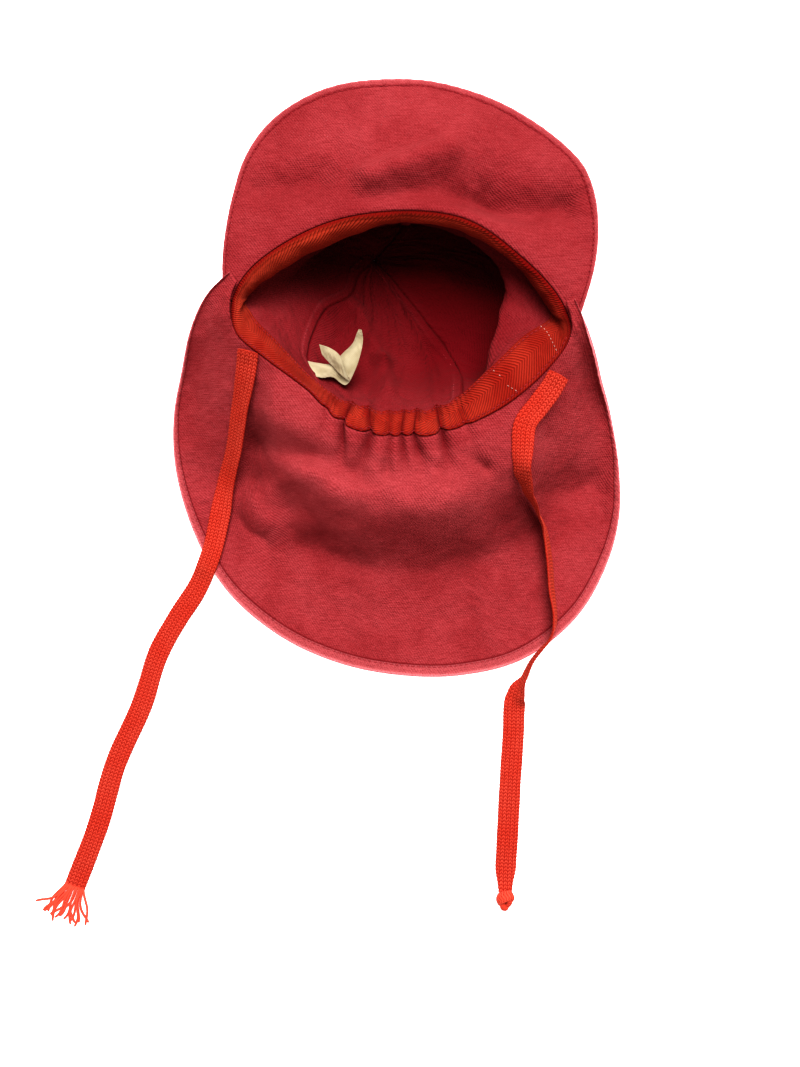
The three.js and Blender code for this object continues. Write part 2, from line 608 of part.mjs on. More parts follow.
// A flat braid along a route.
function braid(name, rows, pinch = null) {
  const route = curveThrough(rows);
  const stepsAlong = (rows.length - 1) * STEPS_PER_ROW;
  const halfHeight = TIE_THICKNESS / 2;
  const sides = BRAID_SECTION.length;
  const positions = [];
  for (const share of steps(0, 1, stepsAlong)) {
    const along = route.getTangent(share);
    const place = share * (rows.length - 1);
    const row = Math.min(Math.floor(place), rows.length - 2);
    const lean = mix(rows[row].lean, rows[row + 1].lean, smoothstep(0, 1, place - row));
    const side = new THREE.Vector3().crossVectors(along, new THREE.Vector3(0, 0, 1)).normalize();
    side.applyAxisAngle(along, THREE.MathUtils.degToRad(lean));
    const up = new THREE.Vector3().crossVectors(side, along);
    const drawnIn = pinch ? smoothstep(rows.length - 1 - pinch.rows, rows.length - 1, place) : 0;
    const halfWidth = (TIE_WIDTH / 2) * (pinch ? mix(1, pinch.share, drawnIn) : 1);
    for (const [wide, high] of BRAID_SECTION) {
      const corner = route.getPoint(share).addScaledVector(side, wide * halfWidth);
      positions.push(...corner.addScaledVector(up, high * halfHeight).toArray());
    }
  }
  const indices = [];
  for (let step = 0; step < stepsAlong; step += 1) {
    for (let corner = 0; corner < sides; corner += 1) {
      const next = (corner + 1) % sides;
      const here = step * sides;
      const there = here + sides;
      indices.push(here + corner, here + next, there + next, here + corner, there + next, there + corner);
    }
  }
  const end = stepsAlong * sides;
  for (let corner = 1; corner < sides - 1; corner += 1) {
    indices.push(0, corner + 1, corner, end, end + corner, end + corner + 1);
  }
  return piece(name, solidFrom(positions, indices), COLOURS.braid);
}

// The overhand knot in the right tie, as a plain ball with shallow lobes.
function tieKnot() {
  const geometry = new THREE.IcosahedronGeometry(1, 3);
  const place = geometry.getAttribute('position');
  for (let index = 0; index < place.count; index += 1) {
    const point = new THREE.Vector3().fromBufferAttribute(place, index);
    const lobe = 1 - 0.08 * (1 + Math.cos(KNOT.lobes * Math.atan2(point.z, point.x) + 2 * point.y));
    point.multiplyScalar(lobe).multiply(new THREE.Vector3(KNOT.width / 2, KNOT.length / 2, KNOT.height / 2));
    place.setXYZ(index, point.x, point.y, point.z);
  }
  const knot = piece('tie_knot', geometry, COLOURS.braid);
  knot.position.set(KNOT.x, KNOT.y, KNOT.z);
  return knot;
}

// The frayed end of the left tie: tapering locks that fan out from a short head.
function tieFringe() {
  const outline = new THREE.Shape();
  const halfWidth = TIE_WIDTH / 2;
  outline.moveTo(-halfWidth, 0);
  for (let lock = 0; lock < FRINGE.locks; lock += 1) {
    const share = (lock + 0.5) / FRINGE.locks;
    const root = mix(-halfWidth, halfWidth, share);
    const angle = THREE.MathUtils.degToRad(mix(-FRINGE.fan / 2, FRINGE.fan / 2, share));
    const length = FRINGE.lockLength * FRINGE.lengths[lock % FRINGE.lengths.length];
    const tipX = root + length * Math.sin(angle);
    const tipY = -FRINGE.headLength - length * Math.cos(angle);
    const half = halfWidth / FRINGE.locks - FRINGE.slit / 2;
    outline.lineTo(root - half, -FRINGE.headLength);
    outline.lineTo(tipX - FRINGE.lockWidth / 4, tipY);
    outline.lineTo(tipX + FRINGE.lockWidth / 4, tipY);
    outline.lineTo(root + half, -FRINGE.headLength);
  }
  outline.lineTo(halfWidth, 0);
  const geometry = new THREE.ExtrudeGeometry(outline, { depth: FRINGE.thickness, bevelEnabled: false });
  const fringe = piece('tie_fringe', geometry, COLOURS.braid);
  const end = LEFT_TIE.at(-1);
  const before = LEFT_TIE.at(-2);
  const along = new THREE.Vector3(end.x - before.x, end.y - before.y, 0).normalize();
  fringe.position.set(end.x + along.x * GAP, end.y + along.y * GAP, end.z - FRINGE.thickness / 2);
  fringe.rotation.z = Math.atan2(along.y, along.x) + Math.PI / 2;
  return fringe;
}

function careLabel() {
  const rowAt = (place) => {
    const index = Math.min(Math.floor(place), LABEL.length - 2);
    const share = place - index;
    const here = LABEL[index];
    const next = LABEL[index + 1];
    return Object.fromEntries(Object.keys(here).map((key) => [key, mix(here[key], next[key], share)]));
  };
  const pointAt = (place, across) => {
    const row = rowAt(place);
    return new THREE.Vector3(
      mix(row.x1, row.x2, across),
      mix(row.y1, row.y2, across),
      mix(row.z1, row.z2, across),
    );
  };
  const geometry = shell(steps(0, LABEL.length - 1, 10), [0, 0.5, 1], pointAt, () => LABEL_THICKNESS / 2);
  return piece('care_label', geometry, COLOURS.label);
}

// ---------------------------------------------------------------- the whole hat

const hat = new THREE.Group();
hat.name = 'peaked_cap';
hat.position.set(-SHIFT_X, -SHIFT_Y, 0);
hat.add(
  crownPanel('crown_panel_right', FRONT_SEAM, RIGHT_SEAM),
  crownPanel('crown_panel_back', RIGHT_SEAM, LEFT_SEAM),
  crownPanel('crown_panel_left', LEFT_SEAM, FRONT_SEAM_AGAIN),
  headTape(),
  peak(),
  neckFlap(),
  braid('tie_left', LEFT_TIE),
  braid('tie_right', RIGHT_TIE, KNOT_PINCH),
  tieKnot(),
  tieFringe(),
  careLabel(),
);

export default hat;
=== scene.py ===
"""A child's peaked sun cap in washed crimson twill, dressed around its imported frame.

The cap lies upside down on its crown, its opening up, its neck flap spread on the
surface and its two braided ties laid on it. Lengths here are in millimetres and
are turned into metres when a mesh is made. +Y points to the peak, +Z up.
"""

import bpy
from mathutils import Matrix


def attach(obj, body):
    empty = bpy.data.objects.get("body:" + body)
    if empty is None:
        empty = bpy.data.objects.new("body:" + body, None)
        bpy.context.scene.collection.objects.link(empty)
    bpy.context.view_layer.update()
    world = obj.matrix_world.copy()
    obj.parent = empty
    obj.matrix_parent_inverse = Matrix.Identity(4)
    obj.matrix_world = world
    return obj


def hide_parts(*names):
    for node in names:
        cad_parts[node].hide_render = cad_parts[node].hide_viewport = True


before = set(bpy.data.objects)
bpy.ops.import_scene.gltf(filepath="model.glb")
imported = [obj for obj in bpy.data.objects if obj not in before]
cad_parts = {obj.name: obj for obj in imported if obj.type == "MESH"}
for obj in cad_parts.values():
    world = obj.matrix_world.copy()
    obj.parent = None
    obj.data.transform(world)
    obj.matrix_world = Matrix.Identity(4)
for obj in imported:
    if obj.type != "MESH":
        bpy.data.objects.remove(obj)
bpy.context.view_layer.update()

import logging
import math
from dataclasses import dataclass
from enum import Enum
from typing import Callable, Optional, Sequence, Union

import bmesh
import bpy
import numpy as np
from mathutils import Vector

Array = np.ndarray
Piece = bpy.types.Object
Material = bpy.types.Material
NodeTree = bpy.types.NodeTree
Socket = bpy.types.NodeSocket
Value = Union[Socket, float, tuple]

LOG = logging.getLogger("peaked_cap")
MM = 0.001
FULL_TURN = 2 * math.pi

# ---------- shared sizes

CLOTH = 1.2  # wall of the washed twill
PEAK_THICKNESS = 2.6
TAPE_THICKNESS = 1.0
HEM_WIDTH = 6.5
HEM_THICKNESS = 1.8
TAPE_WIDTH = 18.0
TAPE_GAP = 0.45  # between the tape and the crown
RIM_SETBACK = 0.75  # from the edge of the opening to the crown's cloth
TAPE_SETBACK = 0.3  # from the edge of the opening to the tape
SEWN_OUT = -0.95  # from the edge of the opening out to the sewn edges of peak and flap
FLAP_OVER_PEAK = 1.5  # clearance where the flap's ends lie over the ends of the peak
TIE_WIDTH = 11.2
TIE_THICKNESS = 1.6

PEAK_FROM, PEAK_TO = -0.197, 0.226  # shares of a turn round the opening
FLAP_FROM, FLAP_TO = 0.2, 0.83
BACK_CENTRE = 0.51
SHIFT = np.array([1.3, 1.7, 0.0])  # from the pattern's own middle to the frame's

# The crown's seams: each one's share of a turn at the tape, then at every sixth of the depth.
FRONT_SEAM = (0.0, 0.0, 0.002, 0.01, 0.025, 0.042)
RIGHT_SEAM = (0.423, 0.414, 0.414, 0.468, 0.488, 0.48)
LEFT_SEAM = (0.6, 0.667, 0.685, 0.642, 0.633, 0.628)

# ---------- tables: x, y, z

RIM = (
    (0, 76.5, 60), (34, 72, 59.5), (61, 53.5, 58), (80, 33, 56),
    (86, 14, 54), (74, -4, 51), (52, -22, 47.5), (27, -33, 45),
    (0, -36, 43), (-27, -31, 44.5), (-48, -13, 47), (-67, 1, 50),
    (-83, 15, 53), (-84, 34, 55.5), (-69, 53, 57.5), (-37, 70.5, 59),
)
TAPE_EDGE = (
    (1, 80.5, 42.5), (32, 75, 42.5), (57.5, 61, 42), (74, 38.5, 39.5),
    (77, 26, 41), (62, 14.5, 44.5), (44, -3, 42.5), (25, -18, 36),
    (1, -22, 35.5), (-25, -18, 34), (-45, -5, 34), (-63, 12.5, 42),
    (-76, 26.5, 43.5), (-80, 39.5, 39.5), (-63.5, 53, 41), (-33, 69.5, 42),
)
CROWN_FOLD = (
    (0, 85, 27), (28, 80, 28), (50, 62, 31), (57, 42, 36),
    (51, 28, 38), (46, 12, 38), (41, -5, 36), (25, -12, 29),
    (0, -9, 21), (-21, -8, 22), (-39, 2, 24), (-53, 17, 28),
    (-62, 31, 29), (-66, 46, 27), (-54, 66, 27), (-29, 80, 27),
)
# Each ring's reach to the front, right, back and left, and its height there.
CROWN_RINGS = (
    (102, 62, 10, -55, 13, 18, 5, 14),
    (110, 57, 38, -48, 3, 3, 1.2, 2.4),
    (98, 31, 58, -38, 0.6, 0.6, 0.6, 0.6),
)
CROWN_TOP = (-14.7, 75, 0.6)
# Soft folds of the slouched crown, as x and y of both ends, width and height.
CROWN_FOLDS = (
    (-23, 42, -12, 14, 5, 5.5), (-10, 12, -7, -8, 5, 5), (-44, 42, -30, 48, 4, 2),
    (12, 30, 2, 62, 7, 1.5), (-36, 70, -30, 56, 6, 1.5), (22, 70, 30, 54, 7, 1.5),
)
PEAK_EDGE = (
    (-87.5, 35, 52.5), (-89, 50, 53), (-88, 68, 52.5), (-85.5, 86, 51), (-80.5, 107, 49),
    (-70.5, 126, 47), (-55.5, 139.5, 46), (-35, 149.5, 46), (-8, 153.5, 46), (20, 151.5, 46),
    (49.5, 141, 46.5), (74.5, 125, 48), (91, 107.5, 49.5), (99, 90, 50.5), (100.5, 70, 51.5),
    (98, 50, 53), (90, 24, 52.5),
)
FLAP_HEM = (
    (86, 30, 56.5), (92, 18, 53.5), (103, -2, 36), (112.5, -20, 19), (118.5, -46, 9),
    (119, -72, 4), (112, -98, 1), (95, -126, 0.9), (66, -148, 0.9), (33, -156.5, 0.9),
    (0, -156.5, 0.9), (-33, -150, 0.9), (-65, -135.5, 0.9), (-94, -111, 0.9), (-112, -80, 2),
    (-121.5, -46, 8), (-121, -18, 17), (-113.5, 6, 29), (-105, 24, 42), (-96, 35, 51),
    (-84, 43.5, 57),
)
# Soft folds: x and y of both ends, width to either side, height (below zero a valley).
PEAK_FOLDS = (
    (-14, 92, 24, 107, 6.5, 7.5), (34, 76, 82, 81, 8, -8.0), (-70, 91, -42, 93, 7, -4.2),
    (10, 128, 34, 122, 10, 2.2), (-20, 130, -60, 116, 9, -1.6), (52, 108, 88, 100, 9, 2.0),
    (-12, 75, 40, 84, 9, -7.5), (-40, 116, 40, 118, 18, 3.0),
)
FLAP_FOLDS = (
    (-76, -33, -24, -50, 7, -13), (-36, -32, -10, -47, 3, -6), (-76, -60, -8, -42, 6, 5),
    (-6, -36, -11, -50, 4.5, 3), (18, -44, 24, -70, 8, 6), (-14, -62, 4, -78, 6, -3),
    (24, -38, 43, -50, 3, -7), (-2, -36, -6.5, -52, 2.5, -8), (10, -40, 20, -52, 3, -8),
    (64, -58, 104, -54, 8, -5), (-50, -88, -17, -98, 5, -3), (-46, -76, -22, -80, 4, 2),
    (46, -58, 52, -74, 7, -3), (84, -100, 92, -84, 9, -2), (-86, -74, -78, -84, 6, -4),
    (-80, -48, -66, -52, 7, -5), (-34, -66, 16, -72, 12, 5), (-79, -72, -54, -74, 8, 6),
    (2, -74, 18, -78, 7, 4), (-58, -62, -40, -80, 6, -4),
)
# Ties: x, y, z along the middle, and the lean to the level in degrees.
LEFT_TIE = (
    (-75.5, 6, 53.4, 3), (-78.2, -4.9, 46.5, 14), (-83.3, -19.9, 33.3, 26),
    (-88.1, -36.3, 19.9, 27), (-94.5, -53.6, 7.7, 20), (-98.4, -73, 4.1, 2),
    (-102.4, -92, 3.8, 0), (-110, -110, 2.2, 0), (-120, -126, 1.2, 0), (-130, -145, 1, 0),
    (-138, -172, 1, 0), (-151, -203, 1, 0), (-159, -234, 1, 0), (-170.5, -266.5, 1, 0),
)
RIGHT_TIE = (
    (79, -6, 52.9, 0), (75, -13, 51.9, 0), (69, -21, 50.3, 0), (62.5, -30, 49.4, 4),
    (61.1, -41.6, 48.4, 20), (61.1, -53.1, 45.8, 50), (65.2, -61.8, 34.8, 86),
    (71.8, -69.8, 20.3, 104), (77.6, -79.6, 10, 112), (80.2, -94.9, 7.6, 114),
    (81.1, -111, 7.1, 114), (82.6, -126, 7.7, 108), (80.1, -136.5, 8.2, 98),
    (75, -142.5, 8.8, 92), (70, -149, 8, 90), (66, -157.5, 6.9, 84), (62, -166, 4.2, 40),
    (61, -174, 1.6, 4), (60.5, -186, 1, 0), (58.5, -211.5, 1, 0), (56.5, -242, 1, 0),
    (55.4, -257, 1.3, 0), (54.7, -268.6, 4.2, 0),
)
KNOT_MIDDLE = (54.6, -271.4, 4.4)

# ---------- small functions


def mix(low: Array, high: Array, share: Array) -> Array:
    """The value at a share of the way from low to high."""
    return low + (high - low) * share


def smoothstep(low: float, high: float, value: Array) -> Array:
    """An eased step from 0 at low to 1 at high."""
    share = np.clip((np.asarray(value, float) - low) / (high - low), 0.0, 1.0)
    return share * share * (3.0 - 2.0 * share)


def plateau(value: Array, rise: Sequence[float], fall: Sequence[float]) -> Array:
    """1 between two ranges, eased up over the first and down over the last."""
    return smoothstep(*rise, value) * (1 - smoothstep(*fall, value))


def bell(distance: Array, width: float) -> Array:
    """A bell that is 1 at no distance and half as high at the width."""
    return np.power(2.0, -np.square(distance / width))


def rounding(distance: Array, radius: float, least: float) -> Array:
    """The share of its thickness that cloth keeps towards a rounded edge.

    Args:
        distance: how far each place is from the edge.
        radius: where the full thickness begins.
        least: the square of the share that is left at the edge itself.

    Returns:
        Shares up to 1.
    """
    into = 1 - np.minimum(distance, radius) / radius
    return np.sqrt(np.clip(1 - np.square(into), least, 1))


def lattice_noise(x: Array, y: Array, seed: int) -> Array:
    """Smooth gradient noise with cells of size 1.

    Args:
        x: first coordinate.
        y: second coordinate, of the same shape.
        seed: picks one of many patterns.

    Returns:
        Values between about -1 and 1.
    """
    along_x, along_y, along_seed, stir = 374761393, 668265263, 974634777, 1274126177
    column, row = np.floor(x).astype(np.int64), np.floor(y).astype(np.int64)
    u, v = x - column, y - row

    def corner(right: int, up: int) -> Array:
        """The share of the noise that one corner of the cell gives."""
        mixed = (column + right) * along_x + (row + up) * along_y + seed * along_seed
        mixed = (mixed ^ (mixed >> 13)) * stir
        angle = ((mixed ^ (mixed >> 16)) & 0xFFFF) * (2.0 * math.pi / 65536.0)
        return np.cos(angle) * (u - right) + np.sin(angle) * (v - up)

    ease_u = u * u * u * (u * (u * 6 - 15) + 10)
    ease_v = v * v * v * (v * (v * 6 - 15) + 10)
    low = mix(corner(0, 0), corner(1, 0), ease_u)
    high = mix(corner(0, 1), corner(1, 1), ease_u)
    return 1.5 * mix(low, high, ease_v)


def crumple(x: Array, y: Array, seed: int, scale: float, height: float) -> Array:
    """Soft creases of washed cloth: ridged noise over plain noise.

    Args:
        x: first coordinate in millimetres.
        y: second coordinate in millimetres.
        seed: picks the pattern.
        scale: distance between creases in millimetres.
        height: height of the tallest creases in millimetres.

    Returns:
        The rise of the cloth in millimetres.
    """
    wide = lattice_noise(x / scale, y / scale, seed)
    sharp = lattice_noise(x / scale * 1.9 + 3.1, y / scale * 1.9, seed + 11)
    fine = lattice_noise(x / scale * 4.3, y / scale * 4.3 + 7.7, seed + 23)
    ridge = 0.5 - np.abs(sharp)
    return height * (0.55 * wide + 0.35 * ridge + 0.12 * fine)


def creased(flat: Array, layers: Sequence[Sequence[float]]) -> Array:
    """The rise of washed cloth on its flat cut, from layers of seed, scale and height."""
    return sum(crumple(flat[..., 0], flat[..., 1], *layer) for layer in layers)


def fold_rise(folds: Sequence[Sequence[float]], x: Array, y: Array) -> Array:
    """How far a table of soft folds lifts the cloth.

    Args:
        folds: rows of x and y of both ends, width to either side, and height.
        x: first coordinate of the places in plan.
        y: second coordinate of the places in plan.

    Returns:
        The rise in millimetres, below zero in a valley.
    """
    rise = np.zeros(np.broadcast(x, y).shape)
    for x1, y1, x2, y2, width, height in folds:
        along = np.array([x2 - x1, y2 - y1], float)
        share = ((x - x1) * along[0] + (y - y1) * along[1]) / along.dot(along)
        share = np.clip(share, 0.0, 1.0)
        away = np.hypot(x - (x1 + share * along[0]), y - (y1 + share * along[1]))
        rise = rise + height * bell(away, width)
    return rise


def unit(vectors: Array) -> Array:
    """Vectors of length 1."""
    return vectors / np.maximum(np.linalg.norm(vectors, axis=-1, keepdims=True), 1e-9)


def running_length(points: Array, axis: int = 0) -> Array:
    """The length up to each point along one axis of a row or grid of points."""
    steps = np.linalg.norm(np.diff(points, axis=axis), axis=-1)
    start = np.zeros_like(np.take(steps, [0], axis=axis))
    return np.concatenate([start, np.cumsum(steps, axis=axis)], axis=axis)


def graded(stops: Sequence[Sequence[float]]) -> Array:
    """Rows joined from runs of (from, to, count), each value once."""
    runs = [np.linspace(low, high, int(count) + 1) for low, high, count in stops]
    return np.unique(np.round(np.concatenate(runs), 7))


def dense_ends(near: Sequence[float], inner: float, count: int) -> Array:
    """Shares from 0 to 1 that crowd towards both ends.

    Args:
        near: the shares beside an end.
        inner: where the even shares begin.
        count: how many even shares there are.

    Returns:
        The shares in order.
    """
    ends = np.array(near)
    return np.unique(np.concatenate([ends, np.linspace(inner, 1 - inner, count), 1 - ends]))


class Spacing(Enum):
    """How a curve spaces its knots between the points that it passes."""

    UNIFORM = "uniform"
    CENTRIPETAL = "centripetal"


class Curve:
    """A Catmull-Rom curve through a table of points."""

    LENGTH_STEPS = 200

    def __init__(self, rows: Sequence[Sequence[float]], closed: bool = False) -> None:
        """Keep the points; a closed curve has uniform spacing, an open one centripetal."""
        self.points = np.array([row[:3] for row in rows], float)
        self.closed = closed
        self.spacing = Spacing.UNIFORM if closed else Spacing.CENTRIPETAL
        self.marks = np.linspace(0.0, 1.0, self.LENGTH_STEPS + 1)
        self.lengths = running_length(self.at(self.marks))

    @property
    def length(self) -> float:
        """The curve's length in millimetres."""
        return float(self.lengths[-1])

    def at(self, share: Array) -> Array:
        """Points at shares of the curve's own parameter."""
        count = len(self.points)
        share = np.asarray(share, float)
        if self.closed:
            place = np.mod(share, 1.0) * count
            first = np.minimum(np.floor(place).astype(int), count - 1)
            near = [self.points[(first + step) % count] for step in (-1, 0, 1, 2)]
        else:
            place = np.clip(share, 0.0, 1.0) * (count - 1)
            first = np.minimum(np.floor(place).astype(int), count - 2)
            before = 2 * self.points[0] - self.points[1]
            after = 2 * self.points[-1] - self.points[-2]
            longer = np.vstack([before, self.points, after])
            near = [longer[first + step] for step in range(4)]
        return blend_four(near, (place - first)[..., None], self.spacing)

    def at_length(self, share: Array) -> Array:
        """Points at shares of the curve's length."""
        return self.at(np.interp(np.asarray(share) * self.length, self.lengths, self.marks))

    def tangent(self, share: Array) -> Array:
        """Unit directions along the curve."""
        step = 1e-4
        share = np.asarray(share, float)
        if not self.closed:
            share = np.clip(share, step, 1.0 - step)
        return unit(self.at(share + step) - self.at(share - step))


def blend_four(near: Sequence[Array], weight: Array, spacing: Spacing) -> Array:
    """The Catmull-Rom blend between the middle two of four points.

    Args:
        near: the point before, the two that bound the stretch, and the one after.
        weight: the share of the way along the stretch.
        spacing: how the knots are spaced.

    Returns:
        The blended points.
    """
    before, start, end, after = near
    if spacing is Spacing.UNIFORM:
        leave, arrive = 0.5 * (end - before), 0.5 * (after - start)
    else:
        first, middle, last = (
            np.maximum(np.sqrt(np.linalg.norm(b - a, axis=-1, keepdims=True)), 1e-4)
            for a, b in ((before, start), (start, end), (end, after))
        )
        through = (end - start) / middle
        leave = (start - before) / first - (end - before) / (first + middle) + through
        arrive = through - (after - start) / (middle + last) + (after - end) / last
        leave, arrive = leave * middle, arrive * middle
    square, cube = weight**2, weight**3
    return (
        start
        + leave * weight
        + (-3 * start + 3 * end - 2 * leave - arrive) * square
        + (2 * start - 2 * end + leave + arrive) * cube
    )


# ---------- the cap's shared form


class CapForm:
    """The surfaces that the pieces of the cap share, as functions of place."""

    # Where each gathered crease lies round the opening, its width, its depth, and its slant.
    CREASES = (
        (0.4215, 0.0050, 2.4, 0.000), (0.4510, 0.0048, 5.6, 0.003), (0.4840, 0.0046, 4.8, -0.004),
        (0.4985, 0.0042, 4.6, 0.000), (0.5120, 0.0040, 3.2, 0.004), (0.5330, 0.0052, 5.2, 0.010),
        (0.5700, 0.0046, 5.4, -0.005), (0.5930, 0.0050, 2.4, 0.000),
    )
    GATHERED = ((0.4, 0.43), (0.59, 0.62))  # shares of a turn where the elastic begins and ends
    GATHERS_PER_TURN = 46.0
    GATHER_RISE, GATHER_UNEVEN = 1.3, 1.1
    GATHER_OUT, GATHER_UP, GATHER_REACH = 0.6, 0.8, 0.32
    FLAP_TAPES = 7.0  # the flap's depth behind the gathers, in widths of the tape
    FLAP_SLOPE = 0.26  # share of the fall that is even from the opening on
    FLAP_EVEN_TO = 0.74  # share of the flap's depth where that even part ends
    BEHIND = (0.12, 0.21)  # how far round from the back centre the brow of the flap dies out
    BROW, BESIDE = (0.23, 0.55), (-0.45, 0.95)  # shares of the depth that the flap drops over
    RECESS_TURNS = ((0.2, 0.3), (0.38, 0.44))  # where the crown bulges out on the right
    RECESS, RECESS_ROW, RECESS_WIDTH = 18.0, 0.5, 0.09
    TAPE_ROW = 1.0 / 6.0  # share of the crown's depth at the tape's lower edge
    TOP_ROW = 0.999

    def __init__(self) -> None:
        """Fit the curves of the opening, crown, peak and hem."""
        self.rim = Curve(RIM, closed=True)
        self.tape_edge = Curve(TAPE_EDGE, closed=True)
        self.crown_fold = Curve(CROWN_FOLD, closed=True)
        self.peak_edge = Curve(PEAK_EDGE)
        self.flap_hem = Curve(FLAP_HEM)
        outline = self.tape_edge.at(np.linspace(0.0, 1.0, 161))
        low, high = outline.min(axis=0), outline.max(axis=0)
        self.ring_middle, self.ring_half = (low + high) / 2, (high - low) / 2

    def outward(self, t: Array) -> Array:
        """Level unit vectors out of the opening."""
        along = self.rim.tangent(t)
        level = np.stack([-along[..., 1], along[..., 0], np.zeros_like(along[..., 0])], axis=-1)
        return unit(level)

    def creases(self, t: Array, away: Array) -> Array:
        """The depth of the gathered creases, which widen away from the opening."""
        turn = np.mod(t, 1.0)
        depth = 0.0 * (turn + away)
        for place, width, deepest, slant in self.CREASES:
            depth = depth + deepest * bell(turn - place - slant * away, width * (1 + 0.5 * away))
        return depth

    def gather_wave(self, t: Array, away: Array) -> Array:
        """How far the elastic gathers push the cloth out and up.

        Args:
            t: shares of a turn round the opening.
            away: distance from the opening, in widths of the tape.

        Returns:
            One displacement in millimetres for each place.
        """
        turn = np.mod(t, 1.0)
        uneven = self.GATHER_UNEVEN * lattice_noise(turn * self.GATHERS_PER_TURN, 0.0 * turn + 2.5, 3)
        height = plateau(turn, *self.GATHERED) * (self.GATHER_RISE + uneven) - self.creases(t, away)
        wave = self.outward(t) * (height * self.GATHER_OUT)[..., None]
        wave[..., 2] = height * self.GATHER_UP
        return wave

    def ring_point(self, ring: Sequence[float], t: Array) -> Array:
        """Points on a ring of the crown, in the outline of the tape's edge.

        Args:
            ring: its reach and its height to the front, right, back and left.
            t: shares of a turn.

        Returns:
            One point for each share.
        """
        front, right, back, left, z_front, z_right, z_back, z_left = ring
        edge = self.tape_edge.at(t)
        u = (edge[..., 0] - self.ring_middle[0]) / self.ring_half[0]
        v = (edge[..., 1] - self.ring_middle[1]) / self.ring_half[1]
        side = np.where(u > 0, z_right, z_left)
        end = np.where(v > 0, z_front, z_back)
        height = (side * u * u + end * v * v) / (u * u + v * v)
        return np.stack([mix(left, right, (u + 1) / 2), mix(back, front, (v + 1) / 2), height], axis=-1)

    def crown_point(self, t: Array, s: Array) -> Array:
        """The crown's middle surface.

        Args:
            t: shares of a turn round it.
            s: shares of its depth, from the opening to the top.

        Returns:
            One point for each place.
        """
        t, s = np.broadcast_arrays(np.asarray(t, float), np.asarray(s, float))
        rows = [curve.at(t) for curve in (self.rim, self.tape_edge, self.crown_fold)]
        rows += [self.ring_point(ring, t) for ring in CROWN_RINGS]
        rows.append(np.broadcast_to(np.array(CROWN_TOP, float), rows[0].shape))
        rows = [2 * rows[0] - rows[1], *rows, 2 * rows[-1] - rows[-2]]
        table = np.stack(rows, axis=-2)
        place = np.clip(s, 0.0, 1.0) * (len(rows) - 3)
        first = np.minimum(np.floor(place).astype(int), len(rows) - 4)
        near = [
            np.take_along_axis(table, (first + step)[..., None, None], axis=-2)[..., 0, :]
            for step in range(4)
        ]
        point = blend_four(near, (place - first)[..., None], Spacing.UNIFORM)
        fade = 1 - smoothstep(self.TAPE_ROW, 2.5 * self.TAPE_ROW, s)
        point = point + self.gather_wave(t, s / self.TAPE_ROW) * fade[..., None]
        recess = self.RECESS * plateau(np.mod(t, 1.0), *self.RECESS_TURNS)
        bulge = recess * bell(s - self.RECESS_ROW, self.RECESS_WIDTH)
        point = point + self.outward(t) * bulge[..., None]
        point[..., 2] = np.maximum(point[..., 2], CLOTH / 2)
        return point

    def crown_inward(self, t: Array, s: Array) -> Array:
        """Unit vectors from the crown's cloth into the hollow, at places as in crown_point."""
        t, s = np.broadcast_arrays(np.asarray(t, float), np.asarray(s, float))
        step_t, step_s = 0.004, 0.012
        around = self.crown_point(t + step_t, s) - self.crown_point(t - step_t, s)
        lower, upper = np.minimum(1, s + step_s), np.maximum(0, s - step_s)
        down = self.crown_point(t, lower) - self.crown_point(t, upper)
        return unit(np.cross(down, around))

    def peak_point(self, t: Array, v: Array) -> Array:
        """The peak's middle surface.

        Args:
            t: shares of a turn along the opening.
            v: shares of its depth, out to its edge.

        Returns:
            One point for each place.
        """
        t, v = np.broadcast_arrays(np.asarray(t, float), np.asarray(v, float))
        inner = self.rim.at(t) + self.outward(t) * SEWN_OUT
        outer = self.peak_edge.at_length((t - PEAK_FROM) / (PEAK_TO - PEAK_FROM))
        point = mix(inner, outer, v[..., None])
        free = smoothstep(0, 0.25, v)
        point[..., 2] += free * fold_rise(PEAK_FOLDS, point[..., 0], point[..., 1])
        return point

    def flap_fall(self, t: Array, v: Array) -> Array:
        """The share of its drop that the flap has fallen by.

        Behind the gathers it runs level and then drops from a brow; beside the
        wearer's ears it falls from the opening on.

        Args:
            t: shares of a turn along the opening.
            v: shares of its depth.

        Returns:
            Shares from 0 to 1.
        """
        beside = smoothstep(*self.BEHIND, np.abs(t - BACK_CENTRE))
        start = mix(self.BROW[0], self.BESIDE[0], beside)
        end = mix(self.BROW[1], self.BESIDE[1], beside)
        begun = smoothstep(start, end, 0.0 * v)
        level = (1 - beside) * self.FLAP_SLOPE
        even = np.minimum(v / self.FLAP_EVEN_TO, 1.0)
        return level * even + (1 - level) * (smoothstep(start, end, v) - begun) / (1 - begun)

